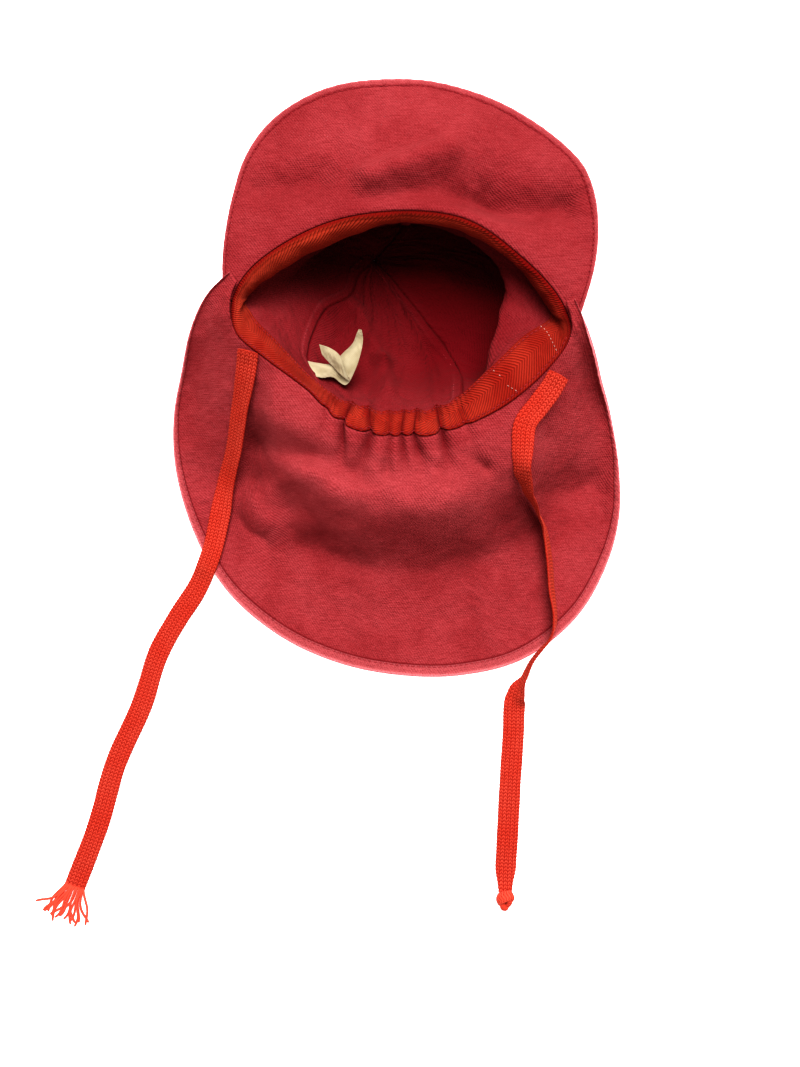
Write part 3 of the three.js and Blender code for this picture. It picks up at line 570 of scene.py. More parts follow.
    def flap_point(self, t: Array, v: Array) -> Array:
        """The flap's middle surface.

        Args:
            t: shares of a turn along the opening.
            v: shares of its depth, out to the hem.

        Returns:
            One point for each place.
        """
        t, v = np.broadcast_arrays(np.asarray(t, float), np.asarray(v, float))
        rim = self.rim.at(t) + self.outward(t) * SEWN_OUT
        hem = self.flap_hem.at_length((t - FLAP_FROM) / (FLAP_TO - FLAP_FROM))
        point = mix(rim, hem, v[..., None])
        lowest = mix(CLOTH, HEM_THICKNESS, smoothstep(0.85, 0.95, v)) / 2
        fall = self.flap_fall(t, v)
        point[..., 2] = mix(rim[..., 2], hem[..., 2], fall) - fall * (HEM_THICKNESS / 2 - lowest)
        lift = np.maximum(
            1 - smoothstep(PEAK_TO + 0.004, PEAK_TO + 0.03, t),
            smoothstep(PEAK_FROM + 0.952, PEAK_FROM + 0.982, t),
        )
        point[..., 2] += (PEAK_THICKNESS / 2 + CLOTH / 2 + FLAP_OVER_PEAK) * lift
        free = plateau(v, (0.05, 0.3), (0.85, 1))
        point[..., 2] += free * fold_rise(FLAP_FOLDS, point[..., 0], point[..., 1])
        fade = 1 - smoothstep(0, self.GATHER_REACH, v)
        point = point + self.gather_wave(t, self.FLAP_TAPES * v) * fade[..., None]
        point[..., 2] = np.maximum(point[..., 2], lowest)
        return point


def depths(surface: Callable[[Array, Array], Array], t: Array) -> Array:
    """The distance from the sewn edge of a surface to its free edge at each column."""
    return np.linalg.norm(surface(t, np.ones_like(t)) - surface(t, np.zeros_like(t)), axis=-1)


# ---------- meshes


def upward_normals(points: Array) -> Array:
    """Unit normals of a grid of points, from its own neighbours, on its upper side."""
    normal = unit(np.cross(np.gradient(points, axis=0), np.gradient(points, axis=1)))
    return normal * np.sign(normal[..., 2:3] + 1e-6)


def link_object(name: str, data: bpy.types.ID) -> Piece:
    """Make an object of some data and put it in the scene."""
    thing = bpy.data.objects.new(name, data)
    bpy.context.scene.collection.objects.link(thing)
    return thing


def make_mesh(name: str, points: Array, faces: Sequence, uv: Array, marks: dict) -> Piece:
    """Make one smooth-shaded mesh object in the frame.

    Args:
        name: the piece's name.
        points: corner places in the pattern's millimetres.
        faces: corner indices of each face.
        uv: one (u, v) in millimetres for each corner of each face, in face order.
        marks: float values for each point, by attribute name.

    Returns:
        The new object, at the origin.
    """
    mesh = bpy.data.meshes.new(name)
    mesh.from_pydata(((points + SHIFT) * MM).tolist(), [], [list(map(int, face)) for face in faces])
    layer = mesh.uv_layers.new(name="cloth")
    layer.data.foreach_set("uv", np.asarray(uv, np.float32).ravel())
    for mark, values in marks.items():
        attribute = mesh.attributes.new(mark, "FLOAT", "POINT")
        attribute.data.foreach_set("value", np.asarray(values, np.float32).ravel())
    mesh.update()
    mesh.shade_smooth()
    return link_object(name, mesh)


def faces_point_out(points: Array, faces: Array) -> bool:
    """Whether the four-cornered faces of a closed shell point out of it."""
    a, b, c, d = (points[faces[:, corner]] for corner in range(4))
    volume = np.einsum("ij,ij->", a, np.cross(b, c)) + np.einsum("ij,ij->", a, np.cross(c, d))
    return bool(volume >= 0)


def cloth_shell(
    name: str, front: Array, back: Array, uv: Array, marks: dict, ring: bool = False
) -> Piece:
    """Join a front and a back grid of cloth into one closed shell.

    Args:
        name: the piece's name.
        front: grid of points of the side that shows.
        back: grid of points of the other side.
        uv: grid of flat places in millimetres; one column more for a ring.
        marks: grids of float values by attribute name, the same on both sides.
        ring: whether the last column joins the first.

    Returns:
        The new object, its faces pointing out.
    """
    across, down = front.shape[:2]
    cells = across if ring else across - 1
    face_runs, place_runs = [], []

    def add_quads(*corners: tuple) -> None:
        """Add faces by their four corners, each a side, a column and a row."""
        face_runs.append(np.stack(
            [(side * across + column % across) * down + row for side, column, row in corners], 1
        ))
        place_runs.append(np.stack([uv[column, row] for _, column, row in corners], 1))

    i, j = np.meshgrid(np.arange(cells), np.arange(down - 1), indexing="ij")
    i, j = i.ravel(), j.ravel()
    add_quads((0, i, j), (0, i + 1, j), (0, i + 1, j + 1), (0, i, j + 1))
    add_quads((1, i, j), (1, i, j + 1), (1, i + 1, j + 1), (1, i + 1, j))
    a, last = np.arange(cells), down - 1
    add_quads((0, a + 1, 0), (0, a, 0), (1, a, 0), (1, a + 1, 0))
    add_quads((0, a, last), (0, a + 1, last), (1, a + 1, last), (1, a, last))
    if not ring:
        b, last = np.arange(down - 1), across - 1
        add_quads((0, 0, b), (0, 0, b + 1), (1, 0, b + 1), (1, 0, b))
        add_quads((0, last, b + 1), (0, last, b), (1, last, b), (1, last, b + 1))
    points = np.concatenate([front.reshape(-1, 3), back.reshape(-1, 3)])
    faces, places = np.concatenate(face_runs), np.concatenate(place_runs)
    if not faces_point_out(points, faces):
        faces, places = faces[:, ::-1], places[:, ::-1]
    both = {mark: np.concatenate([values.ravel()] * 2) for mark, values in marks.items()}
    return make_mesh(name, points, faces, places.reshape(-1, 2), both)


def flat_places(points: Array) -> Array:
    """Places on the flat cut: the first row as it lies, then distance along each column."""
    run = running_length(points, axis=1)
    start = points[:, 0, :2]
    way = unit(points[:, -1, :2] - start)
    return start[:, None, :] + way[:, None, :] * run[..., None]


# ---------- finishes


def linear(code: int) -> tuple[float, float, float, float]:
    """An sRGB hex colour as linear red, green, blue and alpha."""
    parts = [((code >> shift) & 255) / 255 for shift in (16, 8, 0)]
    curve = [part / 12.92 if part <= 0.04045 else ((part + 0.055) / 1.055) ** 2.4 for part in parts]
    return (*curve, 1.0)


def fill(node: bpy.types.Node, inputs: dict) -> None:
    """Set or link a node's inputs, by their names or numbers."""
    for key, value in inputs.items():
        if isinstance(value, Socket):
            node.id_data.links.new(value, node.inputs[key])
        else:
            node.inputs[key].default_value = value


def add(tree: NodeTree, kind: str, inputs: Optional[dict] = None, **settings) -> bpy.types.Node:
    """Add a node with its settings and links.

    Args:
        tree: the node tree.
        kind: the node's type.
        inputs: values or sockets to link, by input name or number.
        settings: properties of the node.

    Returns:
        The new node.
    """
    node = tree.nodes.new(kind)
    for key, value in settings.items():
        setattr(node, key, value)
    fill(node, inputs or {})
    return node


class Shade:
    """Shorthand for the node chains that every finish here uses."""

    IOR = 1.45  # near that of cotton and polyester fibre
    SPECULAR = 0.06  # loose fibre scatters almost all of the gloss
    SHEEN_ROUGHNESS = 0.55

    def __init__(self, name: str) -> None:
        """Start an empty material with its output and surface shader."""
        self.material = bpy.data.materials.new(name)
        self.material.use_nodes = True
        self.tree = self.material.node_tree
        self.tree.nodes.clear()
        self.surface = add(self.tree, "ShaderNodeBsdfPrincipled")
        add(self.tree, "ShaderNodeOutputMaterial", {"Surface": self.surface.outputs["BSDF"]})
        spot = add(self.tree, "ShaderNodeUVMap", uv_map="cloth")
        apart = add(self.tree, "ShaderNodeSeparateXYZ", {0: spot.outputs["UV"]})
        self.u, self.v = apart.outputs["X"], apart.outputs["Y"]
        self.place = spot.outputs["UV"]

    def math(self, operation: str, first: Value, second: Value = 0.0, third: Value = 0.0) -> Socket:
        """The result of one Math node."""
        node = add(self.tree, "ShaderNodeMath", {0: first, 1: second, 2: third}, operation=operation)
        return node.outputs[0]

    def mark(self, name: str) -> Socket:
        """A float attribute of the mesh."""
        node = add(self.tree, "ShaderNodeAttribute", attribute_name=name, attribute_type="GEOMETRY")
        return node.outputs["Fac"]

    def noise(self, size: float, detail: float = 2.0, rough: float = 0.5) -> Socket:
        """Noise on the flat cut, with blots of a size in millimetres, from 0 to 1."""
        inputs = {"Vector": self.place, "Scale": 1.0 / size, "Detail": detail, "Roughness": rough}
        return add(self.tree, "ShaderNodeTexNoise", inputs, noise_dimensions="2D").outputs["Fac"]

    def streaks(self, long: float, thin: float) -> Socket:
        """Noise drawn out along the weft, its length and thickness in millimetres."""
        inputs = {0: self.place, 1: (1 / long, 1 / thin, 1.0)}
        scaled = add(self.tree, "ShaderNodeVectorMath", inputs, operation="MULTIPLY")
        inputs = {"Vector": scaled.outputs[0], "Scale": 1.0, "Detail": 2.0, "Roughness": 0.6}
        return add(self.tree, "ShaderNodeTexNoise", inputs, noise_dimensions="2D").outputs["Fac"]

    def ramp(
        self, value: Value, low: float, high: float, start: float = 0.0, end: float = 1.0
    ) -> Socket:
        """A value moved from one range to another and held there."""
        inputs = {0: value, 1: low, 2: high, 3: start, 4: end}
        return add(self.tree, "ShaderNodeMapRange", inputs, clamp=True).outputs[0]

    def ribs(self, run: Value, spacing: float, wander: Value = 0.0, steep: float = 1.0) -> Socket:
        """Ribs across a run, from 0 in their grooves to 1 along their tops.

        Args:
            run: distance across the ribs in millimetres.
            spacing: from one rib to the next in millimetres.
            wander: how far the ribs stray from straight in millimetres.
            steep: below 1 the tops and grooves are flatter and the sides steeper.

        Returns:
            The height of the ribs.
        """
        phase = self.math("MULTIPLY", self.math("ADD", run, wander), FULL_TURN / spacing)
        return self.ramp(self.math("SINE", phase), -steep, steep)

    def total(self, *parts: tuple[Value, float]) -> Socket:
        """The sum of values, each times its own weight."""
        whole = 0.0
        for value, weight in parts:
            whole = self.math("MULTIPLY_ADD", value, weight, whole)
        return whole

    def layers(self, base: Value, *coats: tuple[Value, int]) -> Socket:
        """A base colour with coats over it, each a share and an sRGB hex colour."""
        for share, code in coats:
            inputs = {0: share, 6: base, 7: linear(code)}
            base = add(self.tree, "ShaderNodeMix", inputs, data_type="RGBA").outputs[2]
        return base

    def bump(
        self, height: Value, distance: float, strength: float = 1.0, below: Optional[Socket] = None
    ) -> Socket:
        """Bump from a height field whose full step is a distance in millimetres."""
        inputs = {"Height": height, "Distance": distance * MM, "Strength": strength}
        if below is not None:
            inputs["Normal"] = below
        return add(self.tree, "ShaderNodeBump", inputs).outputs["Normal"]

    def finish(
        self, colour: Socket, normal: Socket, roughness: float, sheen: float, tint: int
    ) -> Material:
        """Link the colour and bump, and set the cloth's own sheen and roughness.

        Args:
            colour: the surface's colour.
            normal: the bumped normal.
            roughness: the surface's roughness.
            sheen: weight of the sheen of loose fibre.
            tint: sRGB hex colour of that sheen.

        Returns:
            The finished material.
        """
        fill(self.surface, {
            "Base Color": colour, "Normal": normal, "Roughness": roughness, "IOR": self.IOR,
            "Specular IOR Level": self.SPECULAR, "Sheen Weight": sheen,
            "Sheen Roughness": self.SHEEN_ROUGHNESS, "Sheen Tint": linear(tint),
        })
        return self.material


@dataclass(frozen=True)
class WashedTwill:
    """Garment-dyed cotton twill, washed soft.

    Fine diagonal ribs, a dusty bloom of loose fibre, paler where edges and folds rub and
    with painted light on the flap behind the gathers, deeper where dyestuff sits along seams,
    with painted shade in gathered creases, over the peak and in the crown's hollow, whose
    cloth is also less faded.
    """

    name: str = "washed_cotton_twill"
    colour: int = 0x98393D
    pale: int = 0xA8494D
    deep: int = 0x782226
    fibre: int = 0xC05E62
    shadow: int = 0x68161A
    rubbed_and_painted_light: int = 0xE8868A  # along edges and the ridges of the hem, and painted light on the flap behind the gathers
    unfaded_and_painted_shade: int = 0x640E16  # painted shade in the crown's hollow and over the peak; the cloth inside the crown is also less faded
    # dyestuff along seams, stitch lines and the hem, and painted shade in the flap's gathered creases
    seam_dye_and_crease_shade: int = 0x5E0A12
    rib: float = 1.15  # twice the real rib spacing, so that it shows
    weft: float = 0.95
    hair: float = 0.9  # size of a tuft of loose fibre
    blot: float = 34.0  # size of the patches where the dye took unevenly
    slub: tuple = (7.0, 0.9)  # length and thickness of a thick place in the yarn
    roughness: float = 0.92
    sheen: float = 0.04
    tint: int = 0xFFB0A8

    def material(self) -> Material:
        """Build the twill."""
        shade = Shade(self.name)
        wander = shade.total((shade.noise(9.0), 0.7))
        ribs = shade.ribs(shade.total((shade.u, 0.82), (shade.v, 0.57)), self.rib, wander)
        weft = shade.ribs(shade.v, self.weft, wander)
        fuzz = shade.noise(self.hair, 4.0, 0.8)
        blots = shade.noise(self.blot, 3.0, 0.6)
        worn_and_painted_light = shade.math("MULTIPLY", shade.mark("wear_and_painted_light"), shade.ramp(fuzz, 0.3, 0.6, 0.6, 1.2))
        colour = shade.layers(
            linear(self.colour),
            (shade.ramp(blots, 0.38, 0.7, 0.0, 0.6), self.pale),
            (shade.ramp(blots, 0.5, 0.3, 0.0, 0.25), self.deep),
            (shade.ramp(shade.streaks(*self.slub), 0.35, 0.6, 0.45, 0.0), self.deep),
            (shade.total((ribs, 0.45)), self.deep),
            (shade.ramp(fuzz, 0.52, 0.68, 0.0, 0.25), self.fibre),
            (shade.ramp(fuzz, 0.48, 0.34, 0.0, 0.35), self.shadow),
            # paler where edges rub, and painted light on the flap behind the gathers
            (shade.ramp(worn_and_painted_light, 0, 1), self.rubbed_and_painted_light),
            # painted shade, partly cloth inside the crown that washing faded least
            (shade.total((shade.mark("unfaded_and_painted_shade"), 0.82)), self.unfaded_and_painted_shade),
            # darker along seams, and painted shade in gathered creases
            (shade.mark("dye_and_painted_shade"), self.seam_dye_and_crease_shade),
        )
        grain = shade.bump(shade.total((ribs, 0.6), (weft, 0.3), (fuzz, 0.8)), 0.3)
        normal = shade.bump(shade.noise(7.0, 4.0, 0.65), 1.0, 0.8, grain)
        return shade.finish(colour, normal, self.roughness, self.sheen, self.tint)


@dataclass(frozen=True)
class HerringboneTape:
    """Woven cotton seam tape in a herringbone of orange red, flatter than the twill.

    Its legs of the zigzag catch the light in turn; it has painted shade where it is
    folded into the gathers and on its right side, and painted light towards the front.
    """

    name: str = "woven_herringbone_tape"
    colour: int = 0x94261A
    pale: int = 0xA63626
    deep: int = 0x5C0E08
    # painted light on the tape's front and front left
    front_painted_light: int = 0xD8583C
    # darker along the tape's edges and stitch rows, with painted shade in its gathered creases and on its
    # right side
    dye_and_shade_colour: int = 0x6E0A0A
    rib: float = 1.7  # twice the real spacing, so that it shows
    stripe: float = 9.5  # width of one leg of the herringbone
    hair: float = 0.7
    blot: float = 14.0
    roughness: float = 0.9
    sheen: float = 0.06
    tint: int = 0xFFB8A8

    def material(self) -> Material:
        """Build the tape."""
        shade = Shade(self.name)
        zigzag = shade.math("PINGPONG", shade.v, self.stripe)
        wander = shade.total((shade.noise(5.0), 0.5))
        ribs = shade.ribs(shade.math("ADD", shade.u, zigzag), self.rib, wander, steep=0.8)
        fuzz = shade.noise(self.hair, 3.0, 0.7)
        colour = shade.layers(
            linear(self.colour),
            (shade.ramp(shade.noise(self.blot), 0.35, 0.65), self.pale),
            (shade.total((ribs, 0.55)), self.deep),
            (shade.ramp(fuzz, 0.5, 0.8, 0.0, 0.3), self.pale),
            # painted light towards the front
            (shade.mark("wear_and_painted_light"), self.front_painted_light),
            # darker edges and stitch rows, and painted shade in the creases and on the right side
            (shade.mark("dye_and_painted_shade"), self.dye_and_shade_colour),
        )
        normal = shade.bump(shade.total((ribs, -1.0), (fuzz, 0.5)), 0.4)
        return shade.finish(colour, normal, self.roughness, self.sheen, self.tint)


@dataclass(frozen=True)
class FlatBraid:
    """Flat braided cotton tie: columns of small V strands, bright orange red.

    The strands themselves are in the mesh; the finish paints shade into the hollows
    between them and leaves their tops paler and hairy.
    """

    name: str = "flat_cotton_braid"
    colour: int = 0xCC4634
    pale: int = 0xD65E4C
    # painted shade in the hollows between the strands
    deep: int = 0x861C12
    hair: float = 0.7
    blot: float = 20.0
    roughness: float = 0.88
    sheen: float = 0.06
    tint: int = 0xFFC0A8

    def material(self) -> Material:
        """Build the braid."""
        shade = Shade(self.name)
        fuzz = shade.noise(self.hair, 3.0, 0.7)
        colour = shade.layers(
            linear(self.colour),
            (shade.ramp(shade.noise(self.blot), 0.35, 0.65, 0.0, 0.6), self.pale),
            # painted shade in the hollows between the strands
            (shade.ramp(shade.mark("hollow"), 0.05, 0.65, 0.0, 0.95), self.deep),
            (shade.ramp(fuzz, 0.5, 0.7, 0.0, 0.4), self.pale),
        )
        return shade.finish(colour, shade.bump(fuzz, 0.12), self.roughness, self.sheen, self.tint)


@dataclass(frozen=True)
class SatinRibbon:
    """Woven polyester label ribbon, cream: smoother than cotton, with a soft sheen."""

    name: str = "woven_satin_ribbon"
    colour: int = 0xB4A88C
    deep: int = 0x887856
    # darker along the ribbon's long edges
    dye_and_shade_colour: int = 0x9A8A72
    rib: float = 0.7  # three times the real thread spacing, so that it shows
    blot: float = 6.0
    roughness: float = 0.55
    sheen: float = 0.1
    tint: int = 0xFFFFFF

    def material(self) -> Material:
        """Build the ribbon."""
        shade = Shade(self.name)
        threads = shade.ribs(shade.v, self.rib)
        colour = shade.layers(
            linear(self.colour),
            (shade.ramp(shade.noise(self.blot), 0.3, 0.7, 0.0, 0.45), self.deep),
            (shade.total((threads, 0.22)), self.deep),
            (shade.mark("dye_and_painted_shade"), self.dye_and_shade_colour),
        )
        return shade.finish(colour, shade.bump(threads, 0.08), self.roughness, self.sheen, self.tint)


@dataclass(frozen=True)
class SpunThread:
    """Spun polyester sewing thread: a twisted strand with a slight gloss."""

    name: str
    colour: int
    twist: float = 1 / 2.2  # millimetres from one turn of the twist to the next
    groove: float = 0.55  # share of its colour that is left between the turns
    roughness: float = 0.7
    sheen: float = 0.15
    tint: int = 0xFFFFFF

    def material(self) -> Material:
        """Build the thread, whose twist reads its own place."""
        shade = Shade(self.name)
        spot = add(shade.tree, "ShaderNodeTexCoord").outputs["Object"]
        inputs = {"Vector": spot, "Scale": 1 / (self.twist * MM), "Detail": 1.0}
        grain = add(shade.tree, "ShaderNodeTexNoise", inputs).outputs["Fac"]
        dark = tuple(part * self.groove for part in linear(self.colour)[:3]) + (1.0,)
        colour = shade.layers(dark, (shade.ramp(grain, 0.35, 0.65), self.colour))
        return shade.finish(colour, shade.bump(grain, 0.06), self.roughness, self.sheen, self.tint)


@dataclass(frozen=True)
class Finishes:
    """Every finish, built once and shared."""

    twill: Material
    tape: Material
    braid: Material
    ribbon: Material
    thread: Material
    pale_thread: Material

    @classmethod
    def build(cls) -> "Finishes":
        """Build all the materials."""
        return cls(
            twill=WashedTwill().material(),
            tape=HerringboneTape().material(),
            braid=FlatBraid().material(),
            ribbon=SatinRibbon().material(),
            thread=SpunThread("spun_thread_crimson", 0xA02C34).material(),
            pale_thread=SpunThread("spun_thread_white", 0xDEB0A6).material(),
        )


def dress(piece: Piece, material: Material, slot: str, *nodes: str) -> None:
    """Give a finished piece its material and body, and hide the CAD nodes it stands for.

    Args:
        piece: the finished piece.
        material: its finish.
        slot: not used.
        nodes: names of the CAD nodes that it replaces, if any.
    """
    piece.data.materials.clear()
    piece.data.materials.append(material)
    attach(piece, "root")
    if nodes:
        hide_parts(*nodes)
    LOG.info("%s: %d faces", piece.name, len(piece.data.polygons))


# ---------- stitches by Geometry Nodes


def new_tree(name: str, geometry: str, sizes: Sequence[str], result: str) -> NodeTree:
    """Start a Geometry Nodes tree with named inputs.

    Args:
        name: the tree's name.
        geometry: the name of its geometry input.
        sizes: the names of its inputs for sizes.
        result: the name of its output.

    Returns:
        The tree, still without nodes.
    """
    tree = bpy.data.node_groups.new(name, "GeometryNodeTree")
    tree.interface.new_socket(geometry, in_out="INPUT", socket_type="NodeSocketGeometry")
    for size in sizes:
        tree.interface.new_socket(size, in_out="INPUT", socket_type="NodeSocketFloat")
    tree.interface.new_socket(result, in_out="OUTPUT", socket_type="NodeSocketGeometry")
    return tree


def grow(name: str, paths: Sequence[Array], tree: NodeTree, sizes: dict) -> Piece:
    """Run a Geometry Nodes tree along paths, and keep its result as a plain mesh.

    Args:
        name: the piece's name.
        paths: one array of points in pattern millimetres for each path.
        tree: the tree, which takes the paths and some sizes.
        sizes: its sizes in millimetres, by input name.

    Returns:
        The piece, with no modifier left on it.
    """
    points, edges = [], []
    for path in paths:
        start = len(points)
        points += ((np.asarray(path) + SHIFT) * MM).tolist()
        edges += [(start + step, start + step + 1) for step in range(len(path) - 1)]
    guide = bpy.data.meshes.new(name + "_guide")
    guide.from_pydata(points, edges, [])
    piece = link_object(name, guide)
    made = piece.modifiers.new("growth", "NODES")
    made.node_group = tree
    for item in tree.interface.items_tree:
        if item.in_out == "INPUT" and item.name in sizes:
            made[item.identifier] = sizes[item.name] * MM
    graph = bpy.context.evaluated_depsgraph_get()
    graph.update()
    plain = bpy.data.meshes.new_from_object(piece.evaluated_get(graph), depsgraph=graph)
    piece.modifiers.clear()
    piece.data = plain
    plain.name = name
    plain.shade_smooth()
    return piece


@dataclass(frozen=True)
class Stitching:
    """A row of thread stitches that follows a path, made by Geometry Nodes."""

    pitch: float  # from one stitch to the next
    length: float
    radius: float
    sides: int = 6
    rings: int = 5

    def tree(self, material: Material) -> NodeTree:
        """Build the node tree, which sets one long ball of thread at every pitch.

        Args:
            material: the thread's finish.

        Returns:
            The tree, with named inputs for its sizes.
        """
        tree = new_tree("stitch_row", "Path", ("Pitch", "Stitch length", "Thread radius"), "Stitches")
        given = add(tree, "NodeGroupInput").outputs
        line = add(tree, "GeometryNodeMeshToCurve", {"Mesh": given["Path"]})
        inputs = {"Curve": line.outputs[0], "Length": given["Pitch"]}
        spaced = add(tree, "GeometryNodeResampleCurve", inputs, mode="LENGTH")
        inputs = {"Segments": self.sides, "Rings": self.rings, "Radius": 1.0}
        ball = add(tree, "GeometryNodeMeshUVSphere", inputs)
        half = add(tree, "ShaderNodeMath", {0: given["Stitch length"], 1: 0.5}, operation="MULTIPLY")
        inputs = {"X": given["Thread radius"], "Y": given["Thread radius"], "Z": half.outputs[0]}
        size = add(tree, "ShaderNodeCombineXYZ", inputs)
        inputs = {"Geometry": ball.outputs["Mesh"], "Scale": size.outputs[0]}
        long_ball = add(tree, "GeometryNodeTransform", inputs)
        way = add(tree, "GeometryNodeInputTangent")
        turned = add(tree, "FunctionNodeAlignRotationToVector", {"Vector": way.outputs[0]}, axis="Z")
        placed = add(tree, "GeometryNodeInstanceOnPoints", {
            "Points": spaced.outputs[0], "Instance": long_ball.outputs[0], "Rotation": turned.outputs[0],
        })
        real = add(tree, "GeometryNodeRealizeInstances", {"Geometry": placed.outputs[0]})
        dyed = add(tree, "GeometryNodeSetMaterial", {"Geometry": real.outputs[0], "Material": material})
        add(tree, "NodeGroupOutput", {"Stitches": dyed.outputs[0]})
        return tree

    def sew(
        self, name: str, paths: Sequence[Array], material: Material, slot: str
    ) -> Piece:
        """Sew rows of stitches along paths.

        Args:
            name: the piece's name.
            paths: one array of points in pattern millimetres for each row.
            material: the thread's finish.
            slot: the name of a material slot, handed on to dress.

        Returns:
            The stitches as one plain mesh.
        """
        sizes = {"Pitch": self.pitch, "Stitch length": self.length, "Thread radius": self.radius}
        row = grow(name, paths, self.tree(material), sizes)
        dress(row, material, slot)
        return row


SEAM_STITCH = Stitching(2.6, 1.7, 0.2)
TAPE_STITCH = Stitching(2.8, 1.9, 0.22)
TACKING_STITCH = Stitching(2.2, 1.2, 0.16)
EDGE_STITCH = Stitching(2.9, 2.0, 0.24)


# ---------- crown


@dataclass
class Crown:
    """The soft crown of three panels, seen from inside."""

    form: CapForm
    finishes: Finishes
    columns_per_turn: int = 420
    rows: int = 150
    beside_seams: tuple = (0.0, 0.0015, 0.004, 0.008, 0.013)
    seam_groove: float = 0.7
    seam_lap: float = 6.0  # width of the felled seam on one side of each seam
    lap_rise: float = 0.45
    lap_stitch_inset: float = 1.3
    pucker: float = 0.18
    pucker_pitch: float = 5.5
    deepest: float = 0.9  # the cloth is never creased further down than this

    def seam_line(self, seam: Sequence[float], s: Array) -> Array:
        """Where a seam lies round the crown at each depth."""
        rows = np.array([seam[0], seam[0], *seam[1:], seam[-1]])
        place = np.clip(s / self.form.TAPE_ROW - 1, 0.0, len(seam) - 1.001)
        first = np.floor(place).astype(int)
        near = [rows[first + step] for step in range(4)]
        return blend_four(near, place - first, Spacing.UNIFORM)

    def relief(self, flat: Array, middle: Array, s: Array, first: Array, last: Array, seed: int) -> Array:
        """How high a panel's cloth stands: its creases, folds, felled seam and puckers.

        Args:
            flat: places on the panel's flat cut.
            middle: places in the frame.
            s: shares of the crown's depth.
            first: distance from the seam at the panel's first side.
            last: distance from the seam at its last side.
            seed: picks its creases.

        Returns:
            The rise in millimetres.
        """
        free = smoothstep(self.form.TAPE_ROW, self.form.TAPE_ROW + 0.06, s)
        settled = free * (1 - smoothstep(0.9, 0.97, s))
        folds = fold_rise(CROWN_FOLDS, middle[..., 0], middle[..., 1])
        rise = settled * (creased(flat, ((seed, 17.0, 1.5), (seed + 50, 6.0, 0.45))) + folds)
        rise += free * self.lap_rise * plateau(first, (0.4, 1.2), (self.seam_lap - 0.7, self.seam_lap))
        puckers = np.sin(flat[..., 1] * FULL_TURN / self.pucker_pitch) * self.pucker
        for away in (first, last):
            rise -= self.seam_groove * bell(away, 0.55)
            rise += free * puckers * bell(away - 3.5, 2.5)
        return rise

    def marks(self, t: Array, s: Array, first: Array, last: Array) -> dict[str, Array]:
        """A panel's pale lap ridge and darker seams, and its painted shade and light over less faded cloth.

        Args:
            t: shares of a turn round the crown.
            s: shares of its depth.
            first: distance from the seam at the panel's first side.
            last: distance from the seam at its last side.

        Returns:
            Grids of values by attribute name.
        """
        free = smoothstep(self.form.TAPE_ROW, self.form.TAPE_ROW + 0.06, s)
        dye_and_painted_shade = 0.75 * (bell(first, 0.7) + bell(last, 0.7))
        dye_and_painted_shade += 0.25 * bell(first - self.seam_lap, 0.6) * free
        wear_and_painted_light = 0.16 * bell(first - self.seam_lap + 1.0, 0.8) * free
        # Painted shade, deeper into the crown's hollow, partly cloth inside that washing faded least; more
        # painted shade on the right wall under its overhang, and painted light on the left wall.
        unfaded_and_painted_shade = 0.62 + 0.38 * smoothstep(self.form.TAPE_ROW, 0.5, s)
        left_wall = smoothstep(0.66, 0.8, np.mod(t, 1.0)) * (1 - smoothstep(0.6, 0.8, s))
        right_wall = plateau(t, (0.24, 0.34), (0.44, 0.52)) * smoothstep(0.3, 0.5, s)
        unfaded_and_painted_shade += 0.2 * right_wall - 0.3 * left_wall
        return {"wear_and_painted_light": np.clip(wear_and_painted_light, 0, 1), "dye_and_painted_shade": np.clip(dye_and_painted_shade, 0, 1), "unfaded_and_painted_shade": unfaded_and_painted_shade}

    def panel(self, name: str, start: Sequence[float], end: Sequence[float], seed: int) -> Piece:
        """Make one panel between two seams.

        Args:
            name: the CAD node that the panel replaces.
            start: the seam at its first side.
            end: the seam at its last side.
            seed: picks its creases.

        Returns:
            The panel.
        """
        form = self.form
        share = dense_ends(self.beside_seams, 0.02, int((end[0] - start[0]) * self.columns_per_turn))
        edge = RIM_SETBACK / TAPE_WIDTH * form.TAPE_ROW
        rows = np.concatenate([
            np.linspace(edge, form.TAPE_ROW, 22)[:-1], np.linspace(form.TAPE_ROW, form.TOP_ROW, self.rows),
        ])
        low, high = self.seam_line(start, rows), self.seam_line(end, rows)
        t = mix(low[None, :], high[None, :], share[:, None])
        s = np.broadcast_to(rows, t.shape)
        middle, inward = form.crown_point(t, s), form.crown_inward(t, s)
        run, depth = running_length(middle), running_length(middle, axis=1)
        width = run[-1][None, :]
        flat = np.stack([run - width / 2 + 400 * seed, depth], axis=-1)
        rise = self.relief(flat, middle, s, run, width - run, seed)
        half = CLOTH / 2
        front = middle + inward * (half + np.maximum(rise, -self.deepest))[..., None]
        back = middle - inward * (half - 0.1 - 0.5 * rise)[..., None]
        back[..., 2] = np.maximum(back[..., 2], 0.0)
        piece = cloth_shell(name + "_cloth", front, back, flat, self.marks(t, s, run, width - run))
        dress(piece, self.finishes.twill, "twill", name)
        return piece

    def lap_path(self, seam: Sequence[float]) -> Array:
        """The line of stitches along a felled seam."""
        s = np.linspace(0.2, 0.93, 260)
        line = self.seam_line(seam, s)
        step = 0.01
        apart = self.form.crown_point(line + step, s) - self.form.crown_point(line, s)
        t = line + (self.seam_lap - self.lap_stitch_inset) * step / np.linalg.norm(apart, axis=-1)
        over = CLOTH / 2 + self.lap_rise + 0.05
        return self.form.crown_point(t, s) + self.form.crown_inward(t, s) * over

